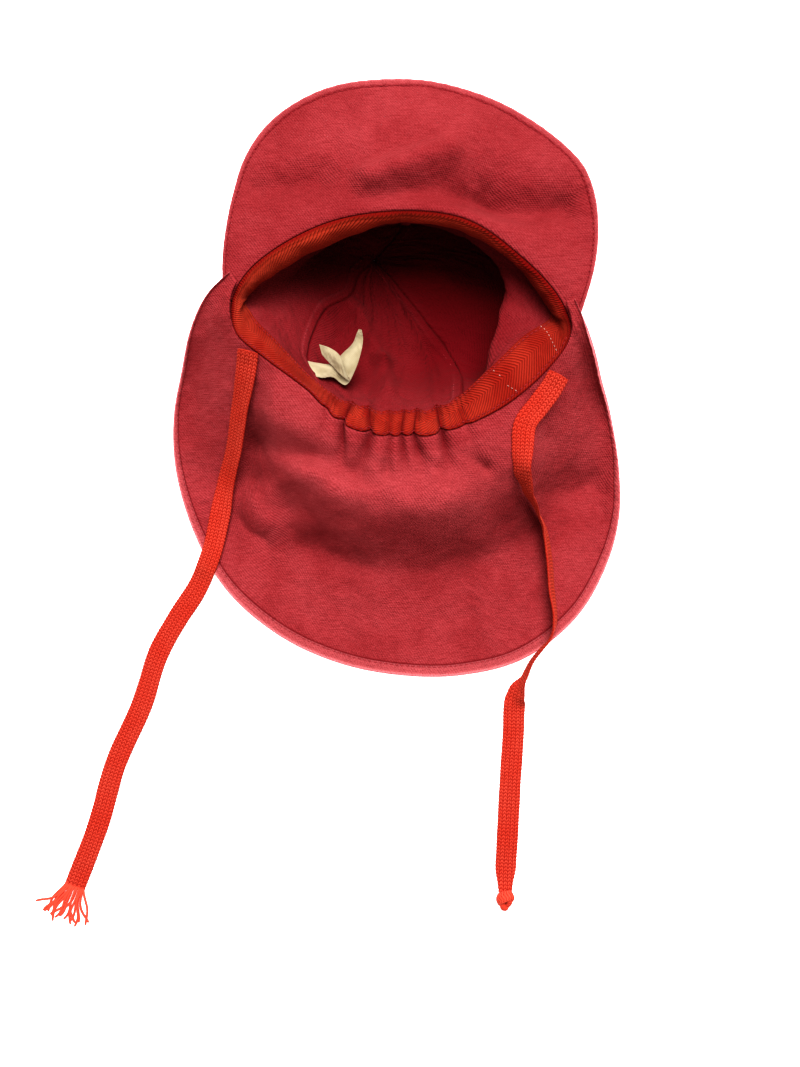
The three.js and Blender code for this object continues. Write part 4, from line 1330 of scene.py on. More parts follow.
    def build(self) -> None:
        """Make the three panels and the stitches along their seams."""
        self.panel("crown_panel_right", FRONT_SEAM, RIGHT_SEAM, 3)
        self.panel("crown_panel_back", RIGHT_SEAM, LEFT_SEAM, 5)
        self.panel("crown_panel_left", LEFT_SEAM, [1 + share for share in FRONT_SEAM], 7)
        paths = [self.lap_path(seam) for seam in (FRONT_SEAM, RIGHT_SEAM, LEFT_SEAM)]
        SEAM_STITCH.sew("crown_seam_stitches", paths, self.finishes.thread, "twill")


# ---------- head tape


@dataclass
class HeadTape:
    """The woven tape over the seam inside the opening, gathered at the back."""

    form: CapForm
    finishes: Finishes
    columns: int = 900
    inset: float = 1.8  # from each edge of the tape to its row of stitches
    belly: float = 3.0  # how far the tape stands in between its rows of stitches
    groove: float = 0.28
    gather_pitch: float = 3.1
    # The bits of pale thread at the joint: share of a turn and of the width at both ends.
    tacking: tuple = ((0.282, 0.92, 0.288, 0.16), (0.366, 0.82, 0.363, 0.62), (0.360, 0.32, 0.355, 0.14))

    @property
    def insets(self) -> tuple[float, float]:
        """How far down the tape its two rows of stitches run."""
        return self.inset, TAPE_WIDTH - self.inset

    def surface(self, t: Array, share: Array, out: Array) -> Array:
        """Points at a height over the tape's middle, at shares of a turn and of its width."""
        s = share * self.form.TAPE_ROW
        stand = CLOTH / 2 + TAPE_GAP + TAPE_THICKNESS / 2 + out
        return self.form.crown_point(t, s) + self.form.crown_inward(t, s) * np.asarray(stand)[..., None]

    def relief(self, t: Array, share: Array, from_edge: Array) -> Array:
        """How far the tape stands in: its creases, its belly, its fine gathers and its stitches.

        Args:
            t: shares of a turn.
            share: shares of the tape's width.
            from_edge: distance from the nearer edge.

        Returns:
            The rise in millimetres.
        """
        down, around = share * TAPE_WIDTH, t * self.form.rim.length
        rise = crumple(around, down, 31, 13.0, 0.7) * np.clip(from_edge / 4, 0.25, 1)
        loose = smoothstep(0.12, 0.2, np.abs(t - 0.5) - 0.1)
        belly = self.belly * np.sin(np.pi * share**0.7)
        rise += loose * (belly + 0.8 * lattice_noise(around / 11, down / 12, 37))
        phase = around * FULL_TURN / self.gather_pitch + 2 * lattice_noise(around / 9, down / 9, 4)
        rise += 0.22 * plateau(t, (0.39, 0.42), (0.6, 0.63)) * np.sin(phase)
        for inset in self.insets:
            rise -= self.groove * bell(down - inset, 0.5)
        return rise

    def build(self) -> None:
        """Make the tape and its stitches."""
        edge = TAPE_SETBACK / TAPE_WIDTH
        rows = graded([(edge, edge + 0.05, 5), (edge + 0.05, 0.95, 26), (0.95, 1.0, 5)])
        t, share = np.meshgrid(np.arange(self.columns) / self.columns, rows, indexing="ij")
        down, around = share * TAPE_WIDTH, t * self.form.rim.length
        from_edge = np.minimum(down - down.min(), TAPE_WIDTH - down)
        half = TAPE_THICKNESS / 2
        round_edge = rounding(from_edge, 0.6, 0.02)
        rise = self.relief(t, share, from_edge)
        front = self.surface(t, share, rise + (half - 0.1) * round_edge)
        back = self.surface(t, share, -half * round_edge)
        flat = np.stack([around, down], -1)
        flat = np.concatenate([flat, flat[:1] + [self.form.rim.length, 0.0]])
        dye_and_painted_shade = 0.9 * bell(from_edge, 0.45) + 0.45 * sum(bell(down - inset, 0.45) for inset in self.insets)
        # painted shade in the gathered creases
        dye_and_painted_shade += 0.24 * np.maximum(self.form.creases(t, share) - 1.2, 0)
        # painted shade on the tape's right side
        dye_and_painted_shade += 0.12 * plateau(t, (0.2, 0.3), (0.38, 0.44))
        # painted light on the tape's front and front left
        wear_and_painted_light = 0.4 * smoothstep(0.7, 0.84, t) + 0.4 * (1 - smoothstep(0.04, 0.14, t))
        marks = {"wear_and_painted_light": wear_and_painted_light, "dye_and_painted_shade": np.clip(dye_and_painted_shade, 0, 1)}
        piece = cloth_shell("head_tape_woven", front, back, flat, marks, ring=True)
        dress(piece, self.finishes.tape, "tape", "head_tape")
        loop = np.linspace(0, 1, 1201)
        insets = [np.full_like(loop, inset / TAPE_WIDTH) for inset in self.insets]
        seams = [self.surface(loop, share, half - 0.12) for share in insets]
        TAPE_STITCH.sew("head_tape_stitches", seams, self.finishes.thread, "tape")
        tacks = [
            self.surface(np.linspace(t1, t2, 30), np.linspace(v1, v2, 30), half + 0.25)
            for t1, v1, t2, v2 in self.tacking
        ]
        TACKING_STITCH.sew("tape_joint_stitches", tacks, self.finishes.pale_thread, "tape")


# ---------- peak


@dataclass
class Peak:
    """The front peak: two layers of twill, top-stitched along its edge."""

    form: CapForm
    finishes: Finishes
    columns: int = 330
    beside_ends: tuple = (0.0, 0.0012, 0.003, 0.006, 0.010, 0.015)
    creases: tuple = ((71, 26.0, 1.1), (77, 8.0, 0.35))  # seed, scale and height
    stitch_inset: float = 5.0
    groove: float = 0.32
    pucker: float = 0.16
    pucker_pitch: float = 6.3
    edge_round: float = 1.3

    def relief(self, flat: Array, v: Array, away: Array) -> Array:
        """The rise of the washed cloth, whose creases die out at the sewn edge and the rim."""
        free = smoothstep(0.02, 0.2, v)
        return free * creased(flat, self.creases) * (0.35 + 0.65 * smoothstep(0, 9, away))

    def build(self) -> None:
        """Make the peak and its stitches."""
        form = self.form
        share = dense_ends(self.beside_ends, 0.02, self.columns)
        t = mix(PEAK_FROM, PEAK_TO, share)
        rows = graded([(0.0, 0.84, 74), (0.84, 0.95, 22), (0.95, 0.985, 12), (0.985, 1.0, 12)])
        t_grid, v = np.meshgrid(t, rows, indexing="ij")
        middle = form.peak_point(t_grid, v)
        depth = depths(form.peak_point, t)[:, None]
        away = (1 - v) * depth
        normal = upward_normals(middle)
        flat = flat_places(middle)
        rise = self.relief(flat, v, away)
        run = share[:, None] * form.peak_edge.length
        phase = run * FULL_TURN / self.pucker_pitch + 2 * lattice_noise(run / 15, away / 9, 8)
        pucker = self.pucker * np.sin(phase) * bell(away - 2.2, 2.4)
        top = rise - self.groove * bell(away - self.stitch_inset, 0.55) + pucker
        sides = np.minimum(share, 1 - share)[:, None] * form.peak_edge.length
        round_edge = rounding(np.minimum(away, sides + 0.02), self.edge_round, 0.0025)
        sewn = 1 - smoothstep(0, 3.0, v * depth)
        half = PEAK_THICKNESS / 2 * round_edge * (1 - 0.55 * sewn)
        middle[..., 2] -= 0.1 * sewn
        front = middle + normal * (half + top * round_edge)[..., None]
        back = middle - normal * (half - 0.5 * rise * round_edge)[..., None]
        wear_and_painted_light = 0.75 * bell(away - 0.4, 0.8) + 0.12 * bell(away - 2.6, 1.2)
        dye_and_painted_shade = 0.75 * bell(away - self.stitch_inset, 0.5)
        # painted shade over the peak, less towards the middle of its outer part
        unfaded_and_painted_shade = 0.3 - 0.2 * bell(middle[..., 0], 45.0) * smoothstep(0.2, 0.5, v)
        marks = {"wear_and_painted_light": np.clip(wear_and_painted_light, 0, 1), "dye_and_painted_shade": dye_and_painted_shade, "unfaded_and_painted_shade": unfaded_and_painted_shade}
        piece = cloth_shell("peak_cloth", front, back, flat, marks)
        dress(piece, self.finishes.twill, "twill", "peak")
        self.stitches()

    def stitches(self) -> None:
        """Sew the row that follows the peak's edge."""
        t = mix(PEAK_FROM, PEAK_TO, np.linspace(0.012, 0.988, 700))
        v = 1 - self.stitch_inset / depths(self.form.peak_point, t)
        path = self.form.peak_point(t, v)
        start = self.form.peak_point(t, np.zeros_like(t))
        out = np.linalg.norm(path - start, axis=-1)[:, None]
        flat = start[:, :2] + unit(path[:, :2] - start[:, :2]) * out
        rise = self.relief(flat, v, np.full_like(t, self.stitch_inset))
        path[:, 2] += PEAK_THICKNESS / 2 + rise - 0.12
        EDGE_STITCH.sew("peak_top_stitches", [path], self.finishes.thread, "twill")


# ---------- neck flap


@dataclass(frozen=True)
class FlapCut:
    """The flap laid out point by point, before it is made a mesh."""

    front: Array
    back: Array
    middle: Array
    flat: Array
    away: Array  # distance from the hem's edge
    marks: dict


@dataclass
class NeckFlap:
    """The wide flap that spreads from the opening to the surface, with its hem."""

    form: CapForm
    finishes: Finishes
    columns: int = 430
    beside_ends: tuple = (0.0, 0.001, 0.0025, 0.005, 0.008, 0.012)
    body_rows: int = 84
    # Distance of each row of the hem from its edge.
    hem_rows: tuple = (
        11.0, 9.6, 8.4, 7.6, 7.0, 6.6, 6.3, 6.0, 5.6, 5.2,
        4.4, 3.4, 2.4, 1.7, 1.2, 0.8, 0.5, 0.25, 0.1, 0.0,
    )
    creases: tuple = ((101, 30.0, 1.7), (107, 9.0, 0.4))  # seed, scale and height
    stitch_inset: float = 5.6
    groove: float = 0.3
    pucker: float = 0.2
    pucker_pitch: float = 5.7
    edge_round: float = 0.9
    least: float = 0.1  # thickness that is left where the cloth is pressed flat

    def relief(self, flat: Array, v: Array, away: Array) -> Array:
        """The rise of the washed cloth, whose creases die out at the sewn edge and the hem."""
        free = smoothstep(0.0, 0.12, v)
        return free * creased(flat, self.creases) * (0.3 + 0.7 * smoothstep(2.0, 14.0, away))

    def rows(self, depth: Array) -> tuple[Array, Array]:
        """Shares of the flap's depth for its rows, which crowd at the hem.

        Args:
            depth: the flap's depth at each column.

        Returns:
            One share for each column and row, and how much narrower the hem is
            drawn in each column.
        """
        tail = np.array(self.hem_rows)
        narrow = np.minimum(1.0, depth * 0.1 / tail[0])
        hem = 1 - tail[None, :] * narrow / depth
        body = np.linspace(0.0, 1.0, self.body_rows)[None, :] * (hem[:, :1] - 0.4 * narrow / depth)
        return np.concatenate([body, hem], axis=1), narrow

    def marks(self, t: Array, v: Array, away: Array, hem: Array) -> dict[str, Array]:
        """Where the flap is paler from rubbing and from painted light, and darker from dyestuff and from
        painted shade.

        Args:
            t: shares of a turn.
            v: shares of the flap's depth.
            away: distance from its edge.
            hem: 1 on the hem and 0 off it.

        Returns:
            Grids of values by attribute name.
        """
        behind = 1 - smoothstep(0.1, 0.2, np.abs(t - BACK_CENTRE))
        wear_and_painted_light = 0.7 * bell(away - 0.5, 0.8) + 0.3 * hem * bell(away - HEM_WIDTH + 0.3, 0.5) + 0.16 * hem
        # painted light on the level part of the flap behind the gathers
        wear_and_painted_light = wear_and_painted_light + 0.045 * behind * plateau(v, (0.04, 0.1), (0.28, 0.4))
        dye_and_painted_shade = 0.85 * bell(away - HEM_WIDTH - 0.2, 0.5) + 0.35 * bell(away - self.stitch_inset, 0.4)
        # painted shade in the gathered creases near the opening
        folded = np.maximum(self.form.creases(t, self.form.FLAP_TAPES * v) - 1.5, 0)
        dye_and_painted_shade = dye_and_painted_shade + 0.18 * folded * (1 - smoothstep(0.05, 0.19, v))
        return {"wear_and_painted_light": np.clip(wear_and_painted_light, 0, 1), "dye_and_painted_shade": np.clip(dye_and_painted_shade, 0, 1)}

    def cut(self) -> FlapCut:
        """Lay out the flap's two sides, its flat cut and its marks."""
        form = self.form
        share = dense_ends(self.beside_ends, 0.015, self.columns)
        t = mix(FLAP_FROM, FLAP_TO, share)
        depth = depths(form.flap_point, t)[:, None]
        v, narrow = self.rows(depth)
        t = np.broadcast_to(t[:, None], v.shape)
        middle = form.flap_point(t, v)
        away = (1 - v) * depth / narrow
        normal, flat = upward_normals(middle), flat_places(middle)
        rise = self.relief(flat, v, away)
        run = share[:, None] * form.flap_hem.length
        hem = 1 - smoothstep(HEM_WIDTH - 0.25, HEM_WIDTH + 0.25, away)
        phase = run * FULL_TURN / self.pucker_pitch + 2.5 * lattice_noise(run / 14, away / 9, 15)
        pucker = self.pucker * np.sin(phase) * hem * bell(away - 3.0, 2.6)
        top = rise + (HEM_THICKNESS - CLOTH) * hem - self.groove * bell(away - self.stitch_inset, 0.5)
        top = top + pucker
        sides = np.minimum(share, 1 - share)[:, None] * form.flap_hem.length
        round_edge = rounding(np.minimum(away, sides + 0.02), self.edge_round, 0.0025)
        half = CLOTH / 2 * round_edge
        front = middle + normal * (half + top * round_edge)[..., None]
        back = middle - normal * (half - 0.5 * rise * round_edge)[..., None]
        back[..., 2] = np.maximum(back[..., 2], 0.0)
        front[..., 2] = np.maximum(front[..., 2], back[..., 2] + self.least)
        return FlapCut(front, back, middle, flat, away, self.marks(t, v, away, hem))

    def build(self, cut: FlapCut) -> None:
        """Make the flap and its hem stitches.

        Args:
            cut: the flap laid out.
        """
        piece = cloth_shell("neck_flap_cloth", cut.front, cut.back, cut.flat, cut.marks)
        dress(piece, self.finishes.twill, "twill", "neck_flap")
        row = int(np.argmin(np.abs(cut.away[len(cut.away) // 2] - self.stitch_inset)))
        path = cut.front[2:-2, row] + np.array([0.0, 0.0, 0.12])
        stitches = EDGE_STITCH.sew("flap_hem_stitches", [path], self.finishes.thread, "twill")


# ---------- ties


class HeightMap:
    """The top of a cloth as heights over a level grid."""

    CELL = 0.5
    SPREAD = 4  # points for each step of the cloth's own grid

    def __init__(self, points: Array) -> None:
        """Spread a grid of points over the cells."""
        for axis in (0, 1):
            points = np.moveaxis(points, axis, 0)
            steps = [mix(points[:-1], points[1:], share) for share in np.arange(self.SPREAD) / self.SPREAD]
            points = np.moveaxis(np.concatenate(steps), 0, axis)
        self.low = points[..., :2].min(axis=(0, 1)) - 2 * self.CELL
        span = points[..., :2].max(axis=(0, 1)) - self.low
        self.heights = np.zeros(tuple((span / self.CELL).astype(int) + 3))
        column, row = self.cell(points[..., 0], points[..., 1])
        np.maximum.at(self.heights, (column, row), points[..., 2])

    def cell(self, x: Array, y: Array) -> tuple[Array, Array]:
        """The cell under a place, held inside the grid."""
        column = ((x - self.low[0]) / self.CELL).astype(int)
        row = ((y - self.low[1]) / self.CELL).astype(int)
        across, down = self.heights.shape
        return np.clip(column, 0, across - 1), np.clip(row, 0, down - 1)

    def at(self, x: Array, y: Array) -> Array:
        """The height of the cloth at places, and 0 beside it."""
        return self.heights[self.cell(x, y)]


@dataclass
class BraidedTie:
    """A flat braided tie that follows a route, its strands in small V shapes."""

    name: str
    route: Sequence[Sequence[float]]
    finishes: Finishes
    cloth: HeightMap
    pinch: float = 0.0  # how far the knot draws the end in
    pinch_rows: float = 1.2  # over how many rows of the route it does
    step: float = 0.42
    wale: float = 2.2  # width of a column of V strands
    strand: float = 1.8  # length of one V along the tie
    relief: float = 0.42
    seat_reach: int = 8  # steps over which the tie bridges the hollows of the cloth
    seat_range: tuple = (-1.2, 3.0)
    clearance: float = 0.05

    def __post_init__(self) -> None:
        """Fit the curve of the route."""
        self.line = Curve(self.route)

    def frames(self, share: Array) -> tuple[Array, Array, Array, Array]:
        """Where the tie runs and how it lies.

        Args:
            share: shares of the route's own parameter.

        Returns:
            Middle points, side and up vectors, and half widths along the tie.
        """
        rows = np.array(self.route, float)
        end = len(rows) - 1
        place = share * end
        row = np.minimum(np.floor(place).astype(int), end - 1)
        lean = np.radians(mix(rows[row, 3], rows[row + 1, 3], smoothstep(0, 1, place - row)))
        along = self.line.tangent(share)
        side = unit(np.cross(along, np.array([0.0, 0.0, 1.0])))
        side = side * np.cos(lean)[:, None] + np.cross(along, side) * np.sin(lean)[:, None]
        drawn = smoothstep(end - self.pinch_rows, end, place)
        half = TIE_WIDTH / 2 * (1 - self.pinch * drawn)
        return self.line.at(share), side, np.cross(side, along), half

    def build(self) -> Piece:
        """Make the tie as one closed braided ribbon."""
        line = self.line
        run = np.linspace(0, line.length, int(line.length / self.step) + 1)
        middle, side, up, half = self.frames(np.interp(run, line.lengths, line.marks))
        top = np.concatenate([[-1, -0.985, -0.95, -0.9], np.linspace(-0.84, 0.84, 37), [0.9, 0.95, 0.985]])
        bottom = -np.concatenate([[-1, -0.985, -0.95], np.linspace(-0.86, 0.86, 15), [0.95, 0.985]])
        wide = np.concatenate([top, bottom])
        high = np.sqrt(1 - np.abs(wide) ** 9) * np.where(np.arange(len(wide)) < len(top), 1, -1)
        across = wide[None, :] * half[:, None]
        column = across / self.wale + 0.5 * (high[None, :] < 0)
        within = np.abs(np.mod(column, 1.0) - 0.5) * 2
        vee = np.mod(run[:, None] / self.strand + 0.85 * within, 1.0)
        hollow = 1 - np.sin(np.pi * vee) ** 1.1 * (1 - 0.75 * (1 - within) ** 3 - 0.6 * within**6)
        uneven = 0.18 * lattice_noise(run[:, None] / 6 + 0 * across, across / 3, 5)
        thick = TIE_THICKNESS / 2 - self.relief * hollow + uneven * 0.6
        wave = 0.14 * np.sin(FULL_TURN * run / self.strand) + 0.22 * lattice_noise(run / 17, run * 0 + 3.3, 9)
        ends = np.clip(np.minimum(run, line.length - run) / 0.5, 0.15, 1) ** 0.5
        flat_out = across * (1 + (wave / half)[:, None])
        points = (
            middle[:, None, :]
            + side[:, None, :] * (flat_out * ends[:, None])[..., None]
            + up[:, None, :] * (high[None, :] * thick * ends[:, None])[..., None]
        )
        points[..., 2] += self.seat(points, run)[:, None]
        points[..., 2] = np.maximum(points[..., 2], 0.02)
        return self.close(points, across, run, hollow)

    def seat(self, points: Array, run: Array) -> Array:
        """How far each row of the braid moves up or down to lie on the cloth.

        Args:
            points: the braid's points, row by row.
            run: the length up to each row.

        Returns:
            The rise of each row in millimetres, which fades out at both ends.
        """
        under = (self.cloth.at(points[..., 0], points[..., 1]) - points[..., 2]).max(axis=1) + self.clearance
        eased = under
        for ease in (np.max, np.mean):
            padded = np.pad(eased, self.seat_reach, mode="edge")
            windows = [padded[step:step + len(under)] for step in range(2 * self.seat_reach + 1)]
            eased = ease(windows, axis=0)
        return np.clip(eased, *self.seat_range) * smoothstep(0, 8, np.minimum(run, run[-1] - run))

    def close(self, points: Array, across: Array, run: Array, hollow: Array) -> Piece:
        """Close the ribbon's ends and dress it.

        Args:
            points: the braid's points, row by row.
            across: how far each lies from the middle on the flat.
            run: the length up to each row.
            hollow: how deep each lies between the strands.

        Returns:
            The tie.
        """
        rows, corners = points.shape[:2]
        row, corner = np.meshgrid(np.arange(rows - 1), np.arange(corners), indexing="ij")
        row, corner = row.ravel(), corner.ravel()
        after = (corner + 1) % corners
        loop = ((row, corner), (row, after), (row + 1, after), (row + 1, corner))
        faces = np.stack([i * corners + j for i, j in loop], 1)
        uv = np.stack([np.stack([across[i, j], run[i]], -1) for i, j in loop], 1)
        flat_points = points.reshape(-1, 3)
        caps = [list(range(corners))[::-1], list(range((rows - 1) * corners, rows * corners))]
        if not faces_point_out(flat_points, faces):
            faces, uv = faces[:, ::-1], uv[:, ::-1]
            caps = [cap[::-1] for cap in caps]
        places = [uv.reshape(-1, 2)]
        for cap in caps:
            places.append(np.array([[across.ravel()[index], run[index // corners]] for index in cap]))
        # how deep each place lies between the strands, which the braid's finish turns into painted shade
        marks = {"hollow": np.clip(hollow, 0, 1)}
        every = faces.tolist() + caps
        piece = make_mesh(self.name + "_braid", flat_points, every, np.concatenate(places), marks)
        dress(piece, self.finishes.braid, "braid", self.name)
        return piece

    def declare(self) -> None:
        """Log how long the tie is.
        """
        line = self.line
        path = [((point + SHIFT) * MM).tolist() for point in line.at(np.linspace(0, 1, 120))]
        LOG.info("%s is %.0f mm long", self.name, line.length)


@dataclass
class TieEnds:
    """What ends the two ties: an overhand knot and a frayed fringe."""

    finishes: Finishes
    strap_corners: int = 28
    knot_rows: int = 90
    strands: int = 19
    strand_radius: float = 0.62
    strand_points: int = 24
    fringe_length: float = 21.0
    fan: tuple = (-24.0, 20.0)  # degrees that the outer strands spread by
    seed: int = 17

    def strap(self, path: Array, width: Array, thick: float, up_hint: Array) -> Array:
        """A flat strap's grid of points round a path.

        Args:
            path: points along the middle.
            width: full width at each point.
            thick: its thickness.
            up_hint: the outward direction at each point.

        Returns:
            One row of points for each point of the path.
        """
        along = unit(np.gradient(path, axis=0))
        side = unit(np.cross(along, up_hint))
        up = np.cross(side, along)
        angle = np.linspace(0, FULL_TURN, self.strap_corners, endpoint=False)
        wide = np.sign(np.cos(angle)) * np.abs(np.cos(angle)) ** 0.5
        high = np.sign(np.sin(angle)) * np.abs(np.sin(angle)) ** 0.8
        across = wide[None, :] * width[:, None] / 2
        dome = 0.5 * (1 - np.square(2 * across / width[:, None]))
        return (
            path[:, None, :]
            + side[:, None, :] * across[..., None]
            + up[:, None, :] * (high[None, :] * thick / 2 + dome)[..., None]
        )

    def knot_straps(self) -> list[tuple[Array, Array, float, Array]]:
        """The three straps of the knot: path, width, thickness and outward direction.

        Returns:
            The band that wraps it, the loop under that, and the short tail.
        """
        turns = np.linspace(0, 1, self.knot_rows)
        full = np.full(self.knot_rows, 1.0)
        angle = FULL_TURN * turns
        cosine, sine = np.cos(angle), np.sin(angle)
        band = np.stack([3.1 * cosine, 1.2 * cosine + 1.5 * sine, 2.5 * sine], -1)
        angle = angle + 1.0
        loop = np.stack([2.6 * np.cos(angle), 2.9 * np.sin(angle) - 0.6, 1.6 * np.cos(angle - 0.8)], -1)
        lift = unit(loop * [1, 1, 0.4] + [0, 0, 1.5])
        arc = np.sin(np.pi * turns)
        tail = np.stack([mix(-1.8, 1.4, turns), mix(-1.5, -4.3, arc), mix(0.8, -0.5, turns)], -1)
        return [
            (band + [0.2, 0.6, 0], 5.2 * full, 1.5, band),
            (loop + [-0.4, 0.2, 0.3], 4.2 * full, 1.7, lift),
            (tail, 4.4 * (0.55 + 0.45 * arc), 2.0, tail + [0, -1.0, 2.0]),
        ]

    def knot(self) -> Piece:
        """Make the overhand knot of the right tie."""
        corners = self.strap_corners
        points, faces, uv, hollow = [], [], [], []
        for path, width, thick, hint in self.knot_straps():
            grid = self.strap(path + np.array(KNOT_MIDDLE), width, thick, unit(hint))
            run = running_length(path)
            start = sum(len(part) for part in points)
            last = len(grid) - 1
            closed = np.linalg.norm(path[0] - path[-1]) < 0.5
            for i in range(last):
                here, ahead = start + i * corners, start + (i + 1) * corners
                if closed and i + 1 == last:
                    ahead = start
                for j in range(corners):
                    after = (j + 1) % corners
                    faces.append([here + j, here + after, ahead + after, ahead + j])
                    left, right = j / 3, (j + 1) / 3
                    uv += [(left, run[i]), (right, run[i]), (right, run[i + 1]), (left, run[i + 1])]
            if closed:
                grid = grid[:-1]
            else:
                faces.append([start + j for j in range(corners)][::-1])
                faces.append([start + last * corners + j for j in range(corners)])
                uv += [(0.0, 0.0)] * (2 * corners)
            points.append(grid.reshape(-1, 3))
            i, j = np.meshgrid(np.arange(len(grid)), np.arange(corners), indexing="ij")
            # the hollows between the strands, for the braid's painted shade
            vee = np.mod(i / 5.0 + np.abs(np.mod(j / 4.0, 1) - 0.5), 1.0)
            hollow.append((1 - np.sin(np.pi * vee) ** 0.7).ravel())
        spots = np.concatenate(points)
        spots[:, 2] = np.maximum(spots[:, 2], 0.05)
        piece = make_mesh("tie_knot_braid", spots, faces, np.array(uv), {"hollow": np.concatenate(hollow)})
        fix_normals(piece)
        dress(piece, self.finishes.braid, "braid", "tie_knot")
        return piece

    def fringe(self) -> Piece:
        """Make the frayed strands by Geometry Nodes from their paths."""
        end, before = np.array(LEFT_TIE[-1][:3]), np.array(LEFT_TIE[-2][:3])
        along = unit((end - before) * [1, 1, 0])
        side = np.array([-along[1], along[0], 0.0])
        random = np.random.default_rng(self.seed)
        reach = TIE_WIDTH / 2 - 0.8
        paths = []
        for index in range(self.strands):
            share = index / (self.strands - 1)
            lateral = mix(-reach, reach, share)
            fan = math.radians(mix(*self.fan, share) + random.uniform(-7, 7))
            length = self.fringe_length * random.uniform(0.8, 1.0)
            bend, wave, level = random.uniform(-0.3, 0.3), random.uniform(0, 6.28), random.uniform(0, 1.0)
            path = []
            for step in np.linspace(0, 1, self.strand_points):
                turned = fan + bend * step + 0.1 * math.sin(5 * step + wave)
                out = length * step
                ahead = out * math.cos(turned) - 1.2
                place = end + side * (lateral + out * math.sin(turned)) + along * ahead
                lift = 1.1 + 0.9 * level * math.sin(math.pi * min(1.0, step * 1.2)) - 0.35 * step
                place[2] = max(self.strand_radius + 0.03, lift)
                path.append(place)
            paths.append(path)
        sizes = {"Strand radius": self.strand_radius}
        piece = grow("tie_fringe_strands", paths, self.strand_tree(), sizes)
        dress(piece, self.finishes.braid, "braid", "tie_fringe")
        return piece

    def strand_tree(self) -> NodeTree:
        """The tree that turns paths into round strands with soft tips."""
        tree = new_tree("strand_bundle", "Paths", ("Strand radius",), "Strands")
        given = add(tree, "NodeGroupInput").outputs
        line = add(tree, "GeometryNodeMeshToCurve", {"Mesh": given["Paths"]})
        spaced = add(tree, "GeometryNodeResampleCurve", {"Curve": line.outputs[0], "Count": 44})
        way = add(tree, "GeometryNodeSplineParameter").outputs["Factor"]
        bulge = add(tree, "ShaderNodeFloatCurve", {"Value": way})
        points = bulge.mapping.curves[0].points
        points[0].location, points[1].location = (0.0, 0.75), (1.0, 0.25)
        for spot in ((0.15, 0.95), (0.85, 1.0), (0.96, 0.85)):
            points.new(*spot)
        bulge.mapping.update()
        inputs = {"Resolution": 10, "Radius": given["Strand radius"]}
        ring = add(tree, "GeometryNodeCurvePrimitiveCircle", inputs)
        tube = add(tree, "GeometryNodeCurveToMesh", {
            "Curve": spaced.outputs[0], "Profile Curve": ring.outputs[0], "Fill Caps": True,
            "Scale": bulge.outputs[0],
        })
        real = add(tree, "GeometryNodeRealizeInstances", {"Geometry": tube.outputs[0]})
        inputs = {"Geometry": real.outputs[0], "Material": self.finishes.braid}
        dyed = add(tree, "GeometryNodeSetMaterial", inputs)
        add(tree, "NodeGroupOutput", {"Strands": dyed.outputs[0]})
        return tree


def fix_normals(piece: Piece) -> None:
    """Point every face of a joined mesh out of its own shell."""
    work = bmesh.new()
    work.from_mesh(piece.data)
    bmesh.ops.recalc_face_normals(work, faces=work.faces)
    work.to_mesh(piece.data)
    work.free()


# ---------- care label


@dataclass
class CareLabel:
    """The folded ribbon label, left blank, with a second leaf behind it."""

    finishes: Finishes
    # Each leaf's two long edges, point by point.
    front_leaf: tuple = (
        (-49, 8, 29.3, -45.5, -1, 31.5), (-43, 6.5, 30, -40.5, -1.5, 30.5), (-37, 6, 29.8, -35, -1, 29.5),
        (-33, 8.5, 30.2, -28.5, -5, 28.7), (-29, 12, 32, -23.5, 2, 30.5), (-24.5, 16, 34.3, -20.3, 11, 33),
        (-22.6, 20, 36.2, -19.2, 18, 35.5), (-21.4, 22.4, 37, -19.8, 22, 37),
    )
    second_leaf: tuple = (
        (-42, 15.3, 34, -40.5, 10, 33), (-36.3, 13.1, 35, -36.3, 5, 33),
        (-31.2, 9.2, 34.6, -30.4, -0.8, 32.2), (-27, -1.6, 32.4, -26.5, -3.6, 31),
    )
    rows: int = 90

    def leaf(self, name: str, edges: Sequence[Sequence[float]], thick: float, seed: int) -> Piece:
        """Make one leaf of ribbon from its two long edges.

        Args:
            name: the piece's name.
            edges: points of the left edge beside points of the right one.
            thick: the ribbon's thickness.
            seed: picks its creases.

        Returns:
            The leaf, still without its finish.
        """
        table = np.array(edges, float)
        left, right = Curve(table[:, :3]), Curve(table[:, 3:])
        u = np.linspace(0, 1, self.rows)
        v = np.concatenate([[0, 0.006, 0.02], np.linspace(0.05, 0.95, 26), [0.98, 0.994, 1]])
        a, b = left.at(u), right.at(u)
        middle = a[:, None, :] + (b - a)[:, None, :] * v[None, :, None]
        normal = upward_normals(middle)
        width = np.linalg.norm(b - a, axis=-1)[:, None]
        run = np.linspace(0, left.length, self.rows)[:, None] + 0 * v[None, :]
        across = width * v[None, :]
        curl = 1.1 * np.sin(across * 0.42 + 0.5) * np.sin(run * 0.16)
        rise = smoothstep(0, 0.25, u)[:, None] * (curl + crumple(run, across, seed, 6.0, 0.8))
        near = np.minimum(v, 1 - v)[None, :] * width
        half = thick / 2 * rounding(near, 0.3, 0.03)
        front, back = middle + normal * (rise + half)[..., None], middle + normal * (rise - half)[..., None]
        # darker along both long edges
        marks = {"dye_and_painted_shade": 0.5 * bell(near - 0.6, 0.35)}
        return cloth_shell(name, front, back, np.stack([run, across], -1), marks)

    def build(self) -> None:
        """Make both leaves of the label."""
        main_leaf = self.leaf("care_label_ribbon", self.front_leaf, 0.5, 41)
        dress(main_leaf, self.finishes.ribbon, "label", "care_label")
        behind = self.leaf("care_label_leaf", self.second_leaf, 0.45, 43)
        dress(behind, self.finishes.ribbon, "label")


# ---------- studio


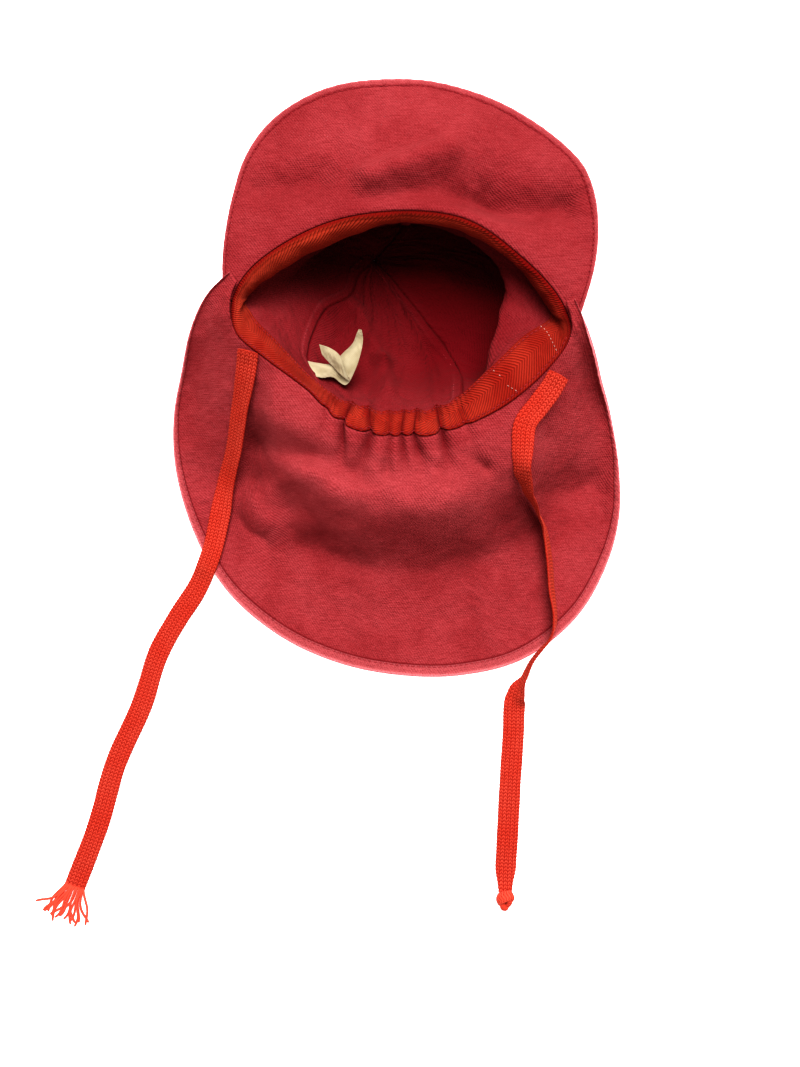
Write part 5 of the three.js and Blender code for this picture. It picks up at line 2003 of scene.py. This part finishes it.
@dataclass
class Studio:
    """The floor, light and camera, in metres and watts except the camera's place."""

    floor_size: float = 3.0
    floor_height: float = -0.0002
    floor_white: float = 0.95
    floor_glow: float = 0.5
    camera_place: tuple = (1.3, -129.1, 483.3)  # in millimetres
    camera_tilt: float = 6.0
    lens: float = 30.0
    key_place: tuple = (0.25, 1.3, 2.88)
    key_target: tuple = (0.0, -0.05, 0.02)
    key_size: float = 2.5
    key_power: float = 174.0
    sky: tuple = (1.0, 0.99, 0.98, 1.0)
    sky_strength: float = 0.38

    def build(self) -> None:
        """Make the studio."""
        self.floor()
        self.camera()
        self.key_light()
        world = bpy.data.worlds.new("studio")
        bpy.context.scene.world = world
        world.use_nodes = True
        fill(world.node_tree.nodes["Background"], {"Color": self.sky, "Strength": self.sky_strength})
        bpy.context.scene.view_settings.view_transform = "Standard"
        bpy.context.scene.view_settings.look = "High Contrast"

    def floor(self) -> None:
        """A plain pale floor of matt painted board just under the cap."""
        half, height = self.floor_size / 2, self.floor_height
        mesh = bpy.data.meshes.new("floor")
        corners = [(-half, -half, height), (half, -half, height), (half, half, height), (-half, half, height)]
        mesh.from_pydata(corners, [], [(0, 1, 2, 3)])
        floor = link_object("floor", mesh)
        paint = bpy.data.materials.new("matt_white_board")
        paint.use_nodes = True
        fill(paint.node_tree.nodes["Principled BSDF"], {
            "Base Color": (self.floor_white,) * 3 + (1.0,), "Roughness": 0.95, "Specular IOR Level": 0.1,
            "Emission Color": (1.0, 1.0, 1.0, 1.0), "Emission Strength": self.floor_glow,
        })
        mesh.materials.append(paint)

    def camera(self) -> None:
        """The camera, almost overhead and leaning towards the peak."""
        data = bpy.data.cameras.new("camera")
        data.lens = self.lens
        data.sensor_width = 36.0
        camera = link_object("camera", data)
        camera.location = [value * MM for value in self.camera_place]
        camera.rotation_euler = (math.radians(self.camera_tilt), 0.0, 0.0)
        bpy.context.scene.camera = camera

    def key_light(self) -> None:
        """One soft square light, high beyond the peak, that faces the cap."""
        data = bpy.data.lights.new("key", "AREA")
        data.size, data.energy = self.key_size, self.key_power
        lamp = link_object("key", data)
        lamp.location = self.key_place
        way = Vector(self.key_target) - Vector(self.key_place)
        lamp.rotation_euler = way.to_track_quat("-Z", "Y").to_euler()


# ---------- the whole cap


def main() -> None:
    """Build the cap and its studio, piece by piece."""
    logging.basicConfig(level=logging.INFO, format="%(name)s: %(message)s")
    Studio().build()
    finishes = Finishes.build()
    form = CapForm()
    flap = NeckFlap(form, finishes)
    cut = flap.cut()
    cloth = HeightMap(cut.front)
    left = BraidedTie("tie_left", LEFT_TIE, finishes, cloth)
    right = BraidedTie("tie_right", RIGHT_TIE, finishes, cloth, pinch=0.38)
    left_braid, right_braid = left.build(), right.build()
    ends = TieEnds(finishes)
    fringe, knot = ends.fringe(), ends.knot()
    left.declare()
    right.declare()
    Crown(form, finishes).build()
    HeadTape(form, finishes).build()
    Peak(form, finishes).build()
    flap.build(cut)
    CareLabel(finishes).build()


if __name__ == "__main__":
    main()
